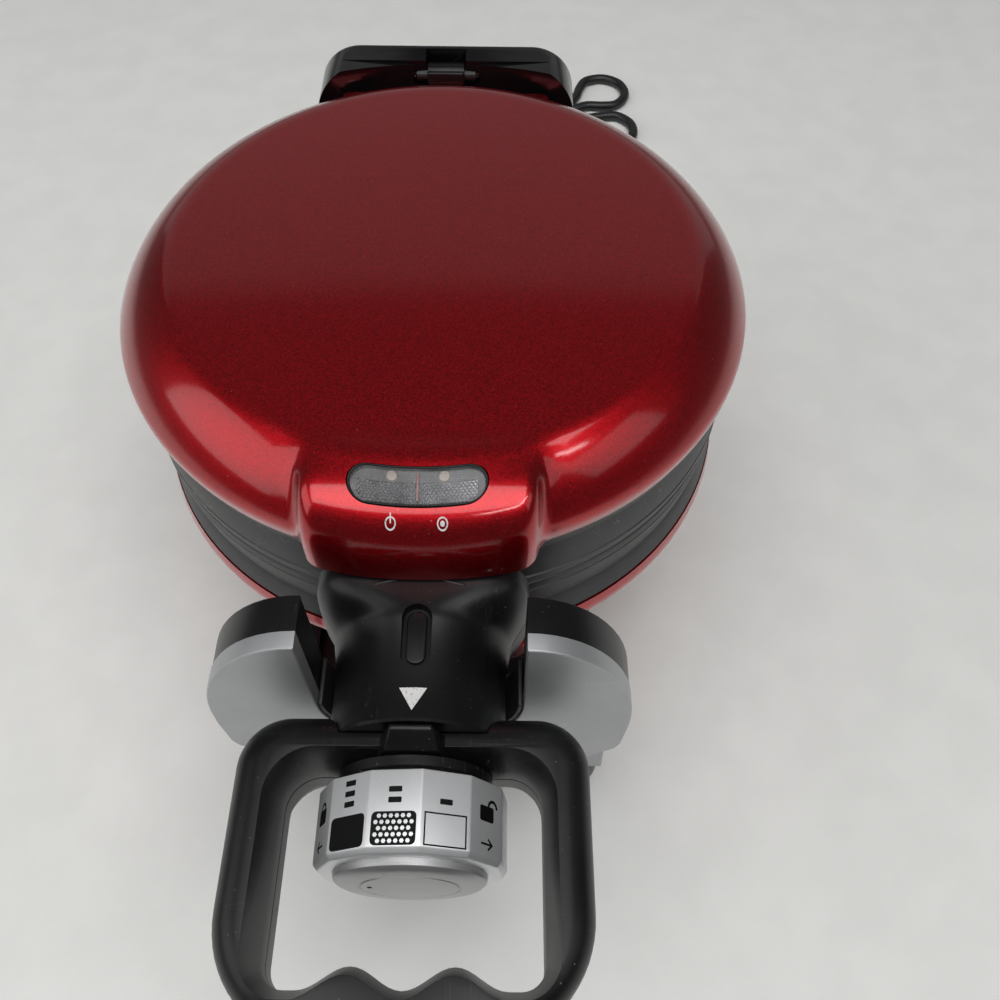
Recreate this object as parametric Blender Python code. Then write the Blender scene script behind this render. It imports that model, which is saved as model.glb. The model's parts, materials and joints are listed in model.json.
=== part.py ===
"""Flip waffle maker: a round head that turns over in a stand.

The head has a lower half and a lid, joined by a hinge at the back. It lies in a
yoke at the front and turns on a tube in the rear post. Run this file with
blender --background --python part.py, or from the text editor.

Units are metres, +Z is up, the handle points along -Y. The part's origin is on
the surface that the feet stand on. The head's own sizes are taken from its
centre, which lies on the flip axis.
"""

import math

import bmesh
import bpy
from mathutils import Matrix, Vector

# --- driving dimensions ---------------------------------------------------
FLIP_Z = 0.145  # flip axis above the floor
GAP = 0.00035  # clearance between pieces that touch

RIM_R = 0.1196  # widest radius of the red shells
RIM_TUCK_R = 0.1182  # radius at their lower edge
DISC_R = 0.0974  # flat disc on top of each shell
DISC_Z = 0.0566  # its edge above the flip axis
CROWN = 0.0012  # how far the disc rises at its middle
RIM_Z = 0.031  # lower edge of the red shell's shoulder
SHOULDER_Z = 0.0362  # height of the widest point
SHOULDER_BULGE = 0.0031
WALL = 0.0024
SKIRT_R = 0.1166
SKIRT_FLARE_R = 0.1178
SKIRT_WAIST_R = 0.1149
SKIRT_WALL = 0.004
HEAD_STEPS = 40

NOSE_HALF = 0.0385
NOSE_FRONT_Y = -0.1293
NOSE_CORNER_Y = -0.1205
NOSE_BOTTOM_Z = 0.0303
NOSE_REAR_Y = -0.088
WINDOW_Y, WINDOW_Z = -0.1055, 0.0532
WINDOW_TILT = math.radians(27.0)
WINDOW_L, WINDOW_W = 0.0436, 0.0140

LEDGE_HALF, LEDGE_Y, LEDGE_Z = 0.0455, 0.110, 0.0465
PAD_HALF, PAD_Y, PAD_Z = 0.0082, 0.1155, 0.0462

PLATE_R = 0.1118
PAN_R = 0.0915
PAN_DEPTH = 0.0125
PLATE_FACE_Z = 0.0006

COLLAR_R = 0.0296
COLLAR_WAIST_R = 0.0284
COLLAR_NECK_R = 0.0262
COLLAR_BORE = 0.0220
COLLAR_REAR_Y, COLLAR_STEP_Y, COLLAR_FRONT_Y = -0.1186, -0.1308, -0.1725
CHEEK_HALF, CHEEK_TALL = 0.036, 0.0235

HANDLE_HALF = 0.0535
HANDLE_REAR_Y, HANDLE_FRONT_Y = -0.166, -0.254
HANDLE_CORNER = 0.032
LOOP_HALF = 0.0396
LOOP_REAR_Y, LOOP_FRONT_Y = -0.1805, -0.238
FINGER_PITCH, FINGER_DEPTH = 0.029, 0.003
HANDLE_H = 0.020

DIAL_R = 0.0291
DIAL_FACETS = 12
DIAL_PHASE = math.radians(8.4)  # first facet edge, from straight up towards +X
DIAL_REAR_Y, DIAL_EDGE_Y, DIAL_FRONT_Y = -0.1863, -0.2060, -0.2094
CAP_R, CAP_FRONT_Y = 0.0230, -0.2132
SHAFT_R = 0.004
NECK_R = 0.024

HINGE_Y, HINGE_Z = 0.121, 0.0475
PIN_R, PIN_HALF = 0.003, 0.013
KNUCKLE_R = 0.0052

HOUSING_HALF, HOUSING_TALL, HOUSING_CORNER = 0.057, 0.0565, 0.019
HOUSING_FRONT_Y, HOUSING_REAR_Y = 0.104, 0.131
HOUSING_RIM_Y = 0.120

TUBE_R, TUBE_BORE, TUBE_END_Y = 0.0166, 0.0130, 0.158
POST_FRONT_Y, POST_REAR_Y = 0.138, 0.165
POST_COVER_Y = 0.168
DETENT_Z = -0.045  # height of the plunger that steadies the head

EAR_BACK_Y, EAR_SPLIT_Y, EAR_FRONT_Y = -0.139, -0.151, -0.157
EAR_TOP_Z, EAR_HALF, SADDLE_R = 0.044, 0.070, 0.034
LEG_HALF, LEG_FRONT_Y, LEG_BACK_Y = 0.072, -0.1387, -0.1315

BASE_HALF, BASE_FRONT_Y, BASE_REAR_Y = 0.072, -0.1400, 0.168
BASE_BOTTOM_Z, BASE_FLOOR_Z = -0.141, -0.138
BLOCK_TOP_Z = -0.119
TRAY_HALF_X, TRAY_HALF_Y = 0.064, 0.112
TRAY_BOTTOM_Z, TRAY_TOP_Z = -0.1376, -0.1295

CORD_D = 0.0068
FLOOR_Z = -FLIP_Z

# The head's centre stands so that the part's origin is midway between the
# front of the handle and the back of the rear post.
HEAD = Vector((0.0, -(HANDLE_FRONT_Y + POST_COVER_Y) / 2, FLIP_Z))


# --- scene helpers ----------------------------------------------------------
def clear_scene():
    for obj in list(bpy.data.objects):
        bpy.data.objects.remove(obj, do_unlink=True)


def finish(name, colour, roughness, metallic=0.0, alpha=1.0):
    material = bpy.data.materials.new(name)
    material.use_nodes = True
    shader = material.node_tree.nodes["Principled BSDF"]
    shader.inputs["Base Color"].default_value = (*colour, 1.0)
    shader.inputs["Roughness"].default_value = roughness
    shader.inputs["Metallic"].default_value = metallic
    shader.inputs["Alpha"].default_value = alpha
    return material


def axis_empty(name, location, parent=None):
    """An empty on a joint's axis; its location is given in the part's frame."""
    empty = bpy.data.objects.new(name, None)
    empty.empty_display_size = 0.02
    bpy.context.collection.objects.link(empty)
    empty["at"] = tuple(location)
    if parent:
        empty.parent = parent
        location = Vector(location) - Vector(parent["at"])
    empty.location = location
    return empty


def hang(obj, parent):
    """Parents an object whose mesh is drawn about the head's centre."""
    obj.parent = parent
    obj.location = HEAD - Vector(parent["at"])


def add_mesh(name, bm, material, parent, smooth=True):
    bmesh.ops.remove_doubles(bm, verts=bm.verts, dist=1e-6)
    bmesh.ops.recalc_face_normals(bm, faces=bm.faces)
    mesh = bpy.data.meshes.new(name)
    bm.to_mesh(mesh)
    bm.free()
    if material:
        mesh.materials.append(material)
    obj = bpy.data.objects.new(name, mesh)
    bpy.context.collection.objects.link(obj)
    if smooth:
        mesh.shade_smooth()
        mesh.set_sharp_from_angle(angle=math.radians(35))
    hang(obj, parent)
    return obj


def combine(target, label, bm, operation="DIFFERENCE"):
    """Adds a Boolean whose operand is drawn in the same frame as the target."""
    operand = add_mesh(f"{target.name}_{label}", bm, None, target.parent, smooth=False)
    operand.hide_render = True
    operand.display_type = "WIRE"
    modifier = target.modifiers.new(label, "BOOLEAN")
    modifier.operation = operation
    modifier.solver = "EXACT"
    modifier.object = operand
    return operand


# --- outlines and solids ----------------------------------------------------
def arc(cx, cy, rx, ry, start, stop, steps):
    """Points of an elliptical arc, angles in degrees."""
    turn = [math.radians(start + (stop - start) * i / steps) for i in range(steps + 1)]
    return [(cx + rx * math.cos(a), cy + ry * math.sin(a)) for a in turn]


def rounded(corners, steps=4):
    """An outline from (x, y, radius) corners, each rounded to its radius."""
    outline = []
    count = len(corners)
    for i, (x, y, radius) in enumerate(corners):
        here = Vector((x, y))
        if not radius:
            outline.append((x, y))
            continue
        back = (Vector(corners[i - 1][:2]) - here).normalized()
        ahead = (Vector(corners[(i + 1) % count][:2]) - here).normalized()
        half = back.angle(ahead) / 2
        centre = here + (back + ahead).normalized() * (radius / math.sin(half))
        reach = radius / math.tan(half)
        first = here + back * reach - centre
        turn = (here + ahead * reach - centre).angle_signed(first)
        for k in range(steps + 1):
            outline.append(tuple(centre + Matrix.Rotation(turn * k / steps, 2) @ first))
    return outline


def box_outline(half_x, low_y, high_y, radius=0.0, steps=4):
    return rounded(
        [
            (-half_x, low_y, radius),
            (half_x, low_y, radius),
            (half_x, high_y, radius),
            (-half_x, high_y, radius),
        ],
        steps,
    )


def bulged(start, stop, bulge, steps):
    """A circular arc between two points that stands out by the bulge."""
    start, stop = Vector(start), Vector(stop)
    chord = stop - start
    side = Vector((-chord.y, chord.x)).normalized()
    radius = (chord.length**2 / 4 + bulge**2) / (2 * bulge)
    centre = (start + stop) / 2 + side * (bulge - radius)
    first = start - centre
    turn = (stop - centre).angle_signed(first)
    points = [centre + Matrix.Rotation(turn * k / steps, 2) @ first for k in range(steps + 1)]
    return [tuple(p) for p in points]


def prism(outline, along, low, high):
    """A solid with a flat outline, drawn across X, Y or Z and extruded along it."""
    place = {
        "X": lambda a, b, t: (t, a, b),
        "Y": lambda a, b, t: (a, t, b),
        "Z": lambda a, b, t: (a, b, t),
    }[along]
    bm = bmesh.new()
    base = bm.faces.new([bm.verts.new(place(a, b, low)) for a, b in outline])
    top = bmesh.ops.extrude_face_region(bm, geom=[base])["geom"]
    moved = [v for v in top if isinstance(v, bmesh.types.BMVert)]
    bmesh.ops.translate(bm, verts=moved, vec=place(0, 0, high - low))
    return bm


def turned(profile, along, steps, angle=math.tau, start=0.0):
    """A solid turned about the Z or Y axis from (radius, height) points.

    The start angle is counted from +X for Z, and from +Z towards +X for Y.
    """
    if along == "Z":
        axis = Vector((0, 0, 1))
        out = Vector((math.cos(start), math.sin(start), 0))
    else:
        axis = Vector((0, 1, 0))
        out = Vector((math.sin(start), 0, math.cos(start)))
    bm = bmesh.new()
    verts = [bm.verts.new(out * r + axis * h) for r, h in profile]
    pairs = list(zip(verts, verts[1:] + verts[:1]))
    if profile[0][0] < 1e-9 and profile[-1][0] < 1e-9:
        pairs.pop()
    edges = [bm.edges.new(pair) for pair in pairs]
    full = abs(angle - math.tau) < 1e-9
    faces = [] if full else [bm.faces.new(verts)]
    bmesh.ops.spin(
        bm,
        geom=verts + edges + faces,
        cent=(0, 0, 0),
        axis=axis,
        angle=angle,
        steps=steps,
        use_merge=full,
    )
    bmesh.ops.remove_doubles(bm, verts=bm.verts, dist=1e-6)
    return bm


def cylinder(along, radius, low, high, centre=(0.0, 0.0), steps=16):
    outline = arc(*centre, radius, radius, 0, 360, steps)[:-1]
    return prism(outline, along, low, high)


def box(low, high):
    outline = [(low[0], low[1]), (high[0], low[1]), (high[0], high[1]), (low[0], high[1])]
    return prism(outline, "Z", low[2], high[2])


def flipped(bm):
    """The same shape turned half way round the flip axis, for the other half."""
    bmesh.ops.rotate(bm, verts=bm.verts, matrix=Matrix.Rotation(math.pi, 3, "Y"))
    return bm


def tube(name, points, diameter, material, parent, sides=2):
    """A round tube with filled ends along a list of points."""
    curve = bpy.data.curves.new(name, "CURVE")
    curve.dimensions = "3D"
    curve.bevel_depth = diameter / 2
    curve.bevel_resolution = sides
    curve.use_fill_caps = True
    spline = curve.splines.new("POLY")
    spline.points.add(len(points) - 1)
    for point, place in zip(spline.points, points):
        point.co = (*place, 1.0)
    curve.materials.append(material)
    obj = bpy.data.objects.new(name, curve)
    bpy.context.collection.objects.link(obj)
    hang(obj, parent)
    return obj


# --- the two halves of the head ---------------------------------------------
def dome_profile(inset):
    """Outer or inner outline of a shell, from the rim up to the middle."""
    widest = (RIM_R - inset, SHOULDER_Z)
    crease = (DISC_R - inset * 0.4, DISC_Z - inset)
    shoulder = bulged(crease, widest, SHOULDER_BULGE, 5)[::-1]
    middle = [(DISC_R / 2, DISC_Z + CROWN * 0.8 - inset), (0.0, DISC_Z + CROWN - inset)]
    low = RIM_Z - (0.01 if inset else 0.001)
    return [(0.0, low), (RIM_TUCK_R - inset, low)] + shoulder + middle


def nose_solid(inset):
    """The block over the collar: a side outline cut to its bowed front."""
    front, bottom = NOSE_FRONT_Y + inset, NOSE_BOTTOM_Z - (0.01 if inset else 0.0)
    brow = bulged((front, 0.034), (NOSE_REAR_Y - 0.006, DISC_Z - 0.0007 - inset), 0.0085, 7)
    side = [(NOSE_REAR_Y, bottom), (front, bottom)] + brow + [(NOSE_REAR_Y, 0.050)]
    half = NOSE_HALF - inset
    return prism(side, "X", -half, half), half


def bowed_plan(half, inset):
    """Plan of the nose: straight sides and a front that bows forward."""
    bow = NOSE_CORNER_Y - NOSE_FRONT_Y
    front = bulged((-half, NOSE_CORNER_Y + inset), (half, NOSE_CORNER_Y + inset), bow, 8)
    front = [(x, 2 * (NOSE_CORNER_Y + inset) - y) for x, y in front]
    return front + [(half, NOSE_REAR_Y + 0.01), (-half, NOSE_REAR_Y + 0.01)]


def add_shell(name, material, parent, turn):
    """A red shell: dome, nose and rear ledge, hollowed from below."""
    shell = add_mesh(name, turn(turned(dome_profile(0.0), "Z", HEAD_STEPS)), material, parent)
    for label, inset, operation in (("nose", 0.0, "UNION"), ("nose_room", WALL, "DIFFERENCE")):
        if label == "nose_room":
            inner = turned(dome_profile(WALL), "Z", HEAD_STEPS)
            combine(shell, "room", turn(inner))
        solid, half = nose_solid(inset)
        nose = combine(shell, label, turn(solid), operation)
        plan = prism(bowed_plan(half, inset), "Z", 0.0, DISC_Z + 0.01)
        combine(nose, "plan", turn(plan), "INTERSECT")
        if label == "nose":
            ledge = prism(
                rounded(
                    [
                        (-LEDGE_HALF, 0.088, 0),
                        (-LEDGE_HALF, LEDGE_Y, 0.003),
                        (LEDGE_HALF, LEDGE_Y, 0.003),
                        (LEDGE_HALF, 0.088, 0),
                    ],
                    2,
                ),
                "Z",
                0.040,
                LEDGE_Z,
            )
            combine(shell, "ledge", turn(ledge), "UNION")
            pad = box((-PAD_HALF, 0.1, 0.041), (PAD_HALF, PAD_Y, PAD_Z))
            combine(shell, "pad", turn(pad), "UNION")
    return shell


def add_head_half(word, parent, turn, finishes):
    """Everything that the lid and the lower half have in common."""
    red, dark, iron, steel, plastic = finishes
    shell = add_shell(f"{word}_shell", red, parent, turn)

    low, high = GAP, RIM_Z - 0.001 - GAP
    skirt = [
        (SKIRT_R, low),
        (SKIRT_R - 0.0002, 0.008),
        (SKIRT_WAIST_R, 0.019),
        (SKIRT_WAIST_R, 0.021),
        (SKIRT_FLARE_R, high),
        (SKIRT_R - SKIRT_WALL, high),
        (SKIRT_R - SKIRT_WALL, low),
    ]
    add_mesh(f"{word}_skirt", turn(turned(skirt, "Z", HEAD_STEPS)), dark, parent)

    face, back = PLATE_FACE_Z, PLATE_FACE_Z + PAN_DEPTH
    plate = [
        (0.0, back + 0.0035),
        (PAN_R + 0.003, back + 0.0035),
        (PAN_R + 0.005, face + 0.003),
        (PLATE_R, face + 0.003),
        (PLATE_R, face),
        (PAN_R, face),
        (PAN_R - 0.0015, back),
        (0.0, back),
    ]
    add_mesh(f"{word}_waffle_plate", turn(turned(plate, "Z", HEAD_STEPS)), iron, parent)

    ring_z = back + 0.0035 + 0.0045
    sign = 1 if turn is upright else -1
    ring = [(x, y, sign * ring_z) for x, y in arc(0, 0, 0.072, 0.072, 105, 435, 32)]
    ends = [(s * 0.0186, 0.100, sign * ring_z) for s in (-1, 1)]
    tube(f"{word}_heating_element", [ends[0]] + ring + [ends[1]], 0.0064, steel, parent)

    dish = [(0.0, 0.0282), (0.103, 0.0282), (0.106, 0.0240), (0.1052, 0.0235)]
    dish += [(0.1025, 0.0272), (0.0, 0.0272)]
    add_mesh(f"{word}_reflector", turn(turned(dish, "Z", 32)), steel, parent)

    waist_y = (COLLAR_STEP_Y + COLLAR_FRONT_Y) / 2
    barrel = [
        (COLLAR_BORE, COLLAR_REAR_Y),
        (COLLAR_NECK_R, COLLAR_REAR_Y),
        (COLLAR_NECK_R, COLLAR_STEP_Y),
        (COLLAR_R, COLLAR_STEP_Y),
        (COLLAR_WAIST_R, waist_y),
        (COLLAR_R, COLLAR_FRONT_Y),
        (COLLAR_BORE, COLLAR_FRONT_Y),
    ]
    half_turn = turned(barrel, "Y", 16, math.pi, -math.pi / 2)
    bmesh.ops.translate(half_turn, verts=half_turn.verts, vec=(0, 0, GAP))
    collar = add_mesh(f"{word}_collar", turn(half_turn), plastic, parent)
    for side in (-1, 1):
        near, far = sorted((side * 0.0248, side * CHEEK_HALF))
        cheek = box((near, COLLAR_STEP_Y, GAP), (far, COLLAR_REAR_Y, CHEEK_TALL))
        combine(collar, f"cheek_{side + 1}", turn(cheek), "UNION")

    handle = add_handle(f"{word}_handle", turn, plastic, parent)
    return shell, collar, handle


def add_handle(name, turn, material, parent):
    """Half of the loop handle, with finger valleys inside its front bar."""
    outer = rounded(
        [
            (-HANDLE_HALF, HANDLE_REAR_Y, 0.016),
            (HANDLE_HALF, HANDLE_REAR_Y, 0.016),
            (HANDLE_HALF, HANDLE_FRONT_Y, HANDLE_CORNER),
            (-HANDLE_HALF, HANDLE_FRONT_Y, HANDLE_CORNER),
        ],
        7,
    )
    handle = add_mesh(name, turn(prism(outer, "Z", GAP, HANDLE_H)), material, parent)
    wave = []
    for step in range(-8, 9):
        x = -FINGER_PITCH * step / 8
        wave.append((x, LOOP_FRONT_Y - FINGER_DEPTH * math.cos(math.tau * x / FINGER_PITCH), 0))
    valley_y = LOOP_FRONT_Y - FINGER_DEPTH
    inner = rounded(
        [(-LOOP_HALF, LOOP_REAR_Y, 0.011), (LOOP_HALF, LOOP_REAR_Y, 0.011)]
        + [(LOOP_HALF, valley_y, 0.007)]
        + wave
        + [(-LOOP_HALF, valley_y, 0.007)],
        4,
    )
    combine(handle, "loop", turn(prism(inner, "Z", -0.01, HANDLE_H + 0.01)))
    room = cylinder("Y", COLLAR_R + 0.0004, COLLAR_FRONT_Y - GAP, -0.15, steps=32)
    combine(handle, "collar_room", turn(room))
    combine(handle, "shaft_room", turn(cylinder("Y", SHAFT_R + 0.001, -0.19, -0.16)))
    return handle


def upright(bm):
    return bm


# --- the lid ------------------------------------------------------------------
def at_window(bm, depth):
    """Moves a piece drawn flat at the origin into the nose's sloping window."""
    normal = Vector((0, -math.sin(WINDOW_TILT), math.cos(WINDOW_TILT)))
    place = Matrix.Translation(Vector((0, WINDOW_Y, WINDOW_Z)) - normal * depth)
    bmesh.ops.transform(bm, verts=bm.verts, matrix=place @ Matrix.Rotation(WINDOW_TILT, 4, "X"))
    return bm


def stadium(length, width, steps=6):
    r = width / 2
    x = length / 2 - r
    return arc(x, 0, r, r, -90, 90, steps) + arc(-x, 0, r, r, 90, 270, steps)


def add_lid(parent, finishes, clear, amber, white):
    shell, collar, handle = add_head_half("upper", parent, upright, finishes)
    red, dark, iron, steel, plastic = finishes

    combine(shell, "window", at_window(prism(stadium(WINDOW_L, WINDOW_W), "Z", -0.02, 0.01), 0))
    bezel = prism(stadium(WINDOW_L - 0.0007, WINDOW_W - 0.0007), "Z", -0.0040, 0.0)
    bezel = add_mesh("indicator_bezel", at_window(bezel, 0.0), plastic, parent)
    combine(bezel, "lens_room", at_window(prism(stadium(0.0412, 0.0116), "Z", -0.01, 0.01), 0))
    lens = prism(stadium(0.0405, 0.0109), "Z", -0.0022, -0.0004)
    add_mesh("indicator_lens", at_window(lens, 0.0), clear, parent)
    for word, side in (("power", -1), ("ready", 1)):
        lamp = turned([(0, -0.013), (0.0022, -0.013), (0.0022, -0.0052), (0, -0.0040)], "Z", 10)
        bmesh.ops.translate(lamp, verts=lamp.verts, vec=(side * 0.0082, 0.002, 0))
        add_mesh(f"{word}_lamp", at_window(lamp, 0.0), amber, parent)

    slot_y, depth = -0.145, 0.0020
    slot = stadium(0.0205, 0.0089)
    slot = prism([(b, slot_y + a) for a, b in slot], "Z", 0.0272, 0.04)
    combine(collar, "inlay_room", slot)
    inlay = [(b, slot_y + a) for a, b in stadium(0.0180, 0.0064)]
    inlay = prism(inlay, "Z", 0.0272 + GAP, 0.0272 + depth)
    add_mesh("collar_inlay", inlay, plastic, parent)

    tab = [(-0.0110, 0.017), (0.0110, 0.017), (0.0062, 0.0295), (-0.0062, 0.0295)]
    tab = combine(handle, "tab", prism(tab, "Y", -0.1800, -0.1735), "UNION")
    slope = [(-0.1900, 0.0150), (-0.1900, 0.0400), (-0.1735, 0.0310), (-0.1800, 0.0245)]
    combine(tab, "tab_slope", prism(slope, "X", -0.02, 0.02))

    neck = [(SHAFT_R + 0.0005, DIAL_REAR_Y + GAP), (NECK_R, DIAL_REAR_Y + GAP)]
    neck += [(NECK_R, LOOP_REAR_Y - GAP), (SHAFT_R + 0.0005, LOOP_REAR_Y - GAP)]
    add_mesh("dial_neck", turned(neck[::-1], "Y", 24), plastic, parent)

    block = box((-PAD_HALF, PAD_Y + GAP, 0.0430), (PAD_HALF, HINGE_Y, HINGE_Z))
    bracket = add_mesh("lid_hinge_bracket", block, plastic, parent)
    knuckle = cylinder("X", KNUCKLE_R, -PAD_HALF, PAD_HALF, (HINGE_Y, HINGE_Z), 20)
    combine(bracket, "knuckle", knuckle, "UNION")
    bore = cylinder("X", PIN_R + GAP, -0.06, 0.06, (HINGE_Y, HINGE_Z), 20)
    combine(bracket, "pin_room", bore)

    add_mesh("thermostat", box((-0.018, -0.070, 0.0290), (0.018, -0.048, 0.0400)), white, parent)
    fuse = cylinder("X", 0.0035, -0.016, 0.016, (0.045, 0.034), 12)
    add_mesh("thermal_fuse", fuse, steel, parent)


# --- the lower half ---------------------------------------------------------------
def add_lower_half(parent, finishes, gloss, steel):
    add_head_half("lower", parent, flipped, finishes)

    square = box_outline(HOUSING_HALF, -HOUSING_TALL, HOUSING_TALL, HOUSING_CORNER, 5)
    housing = prism(square, "Y", HOUSING_FRONT_Y, HOUSING_REAR_Y)
    housing = add_mesh("hinge_housing", housing, gloss, parent)
    combine(housing, "head_room", cylinder("Z", RIM_R + 0.0006, -0.09, 0.09, steps=64))
    for word, turn in (("top", upright), ("bottom", flipped)):
        for side in (-1, 1):
            near, far = sorted((side * 0.0136, side * 0.0470))
            cavity = box((near, 0.09, 0.0481), (far, 0.1280, 0.0535))
            combine(housing, f"{word}_cavity_{side + 1}", turn(cavity))
        slot = box((-0.0088, 0.09, 0.0420), (0.0088, 0.1275, 0.0552))
        combine(housing, f"{word}_slot", turn(slot))
        mouth = box((-0.0476, 0.09, 0.0530), (0.0476, HOUSING_RIM_Y, 0.08))
        combine(housing, f"{word}_mouth", turn(mouth))
    bore = cylinder("X", PIN_R + GAP, -0.0145, 0.0145, (HINGE_Y, HINGE_Z), 20)
    combine(housing, "pin_room", bore)
    combine(housing, "cable_way", cylinder("Y", TUBE_BORE, 0.10, 0.14, steps=20))

    pin = cylinder("X", PIN_R, -PIN_HALF, PIN_HALF, (HINGE_Y, HINGE_Z), 20)
    add_mesh("hinge_pin", pin, steel, parent)

    flange_y = HOUSING_REAR_Y + GAP
    groove_y = 0.1500
    tube_profile = [
        (TUBE_BORE, flange_y),
        (TUBE_BORE, TUBE_END_Y),
        (TUBE_R, TUBE_END_Y),
        (TUBE_R, groove_y + 0.0020),
        (TUBE_R - 0.0010, groove_y + 0.0020),
        (TUBE_R - 0.0010, groove_y),
        (TUBE_R, groove_y),
        (TUBE_R, flange_y + 0.0020),
        (0.0240, flange_y + 0.0020),
        (0.0240, flange_y),
    ]
    add_mesh("pivot_tube", turned(tube_profile, "Y", 28), steel, parent)
    ring_in, ring_out = TUBE_R - 0.0006, 0.0205
    ring = [
        (ring_in, groove_y + GAP),
        (ring_in, groove_y + 0.0016),
        (ring_out, groove_y + 0.0016),
        (ring_out, groove_y + GAP),
    ]
    add_mesh("retaining_ring", turned(ring, "Y", 28), steel, parent)


# --- the dial -----------------------------------------------------------------------
def add_dial(parent, satin, cap, steel, plastic):
    bore = SHAFT_R + GAP
    knob = [
        (bore, DIAL_REAR_Y),
        (bore, -0.2076),
        (CAP_R + 0.0004, -0.2076),
        (CAP_R + 0.0004, DIAL_FRONT_Y),
        (DIAL_R - 0.0022, DIAL_FRONT_Y),
        (DIAL_R, DIAL_EDGE_Y),
        (DIAL_R, DIAL_REAR_Y),
    ]
    add_mesh("dial_knob", turned(knob, "Y", DIAL_FACETS, math.tau, DIAL_PHASE), satin, parent)
    face = [(0, -0.2079), (CAP_R * 0.965, -0.2079), (CAP_R * 0.965, -0.2108)]
    face += [(CAP_R * 0.86, -0.2123), (CAP_R * 0.5, -0.2129), (0, CAP_FRONT_Y)]
    add_mesh("dial_cap", turned(face, "Y", 32), cap, parent)
    shaft = cylinder("Y", SHAFT_R, -0.2073, -0.1400, steps=16)
    add_mesh("dial_shaft", shaft, steel, parent)
    lobe = arc(0, 0, 0.009, 0.009, 150, 390, 10) + [(0.0035, 0.019), (-0.0035, 0.019)]
    cam = add_mesh("lock_cam", prism(lobe, "Y", -0.1620, -0.1580), plastic, parent)
    combine(cam, "shaft_room", cylinder("Y", bore, -0.17, -0.15, steps=16))


# --- the stand -------------------------------------------------------------------------
def yoke_outline(grow=0.0):
    """The front yoke: two ears with a round-bottomed slot between them."""
    half, top = EAR_HALF + grow, EAR_TOP_Z + grow
    slot = SADDLE_R
    shoulder = arc(slot + 0.002, -0.012, half - slot - 0.002, top + 0.012, 90, 0, 8)
    right = shoulder + [(half - 0.001, -0.034), (0.060, -0.062)]
    left = [(-x, z) for x, z in reversed(right)]
    saddle = arc(0, 0, slot, slot, 180, 360, 16)
    return left + [(-slot, top)] + saddle + [(slot, top)] + right


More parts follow.
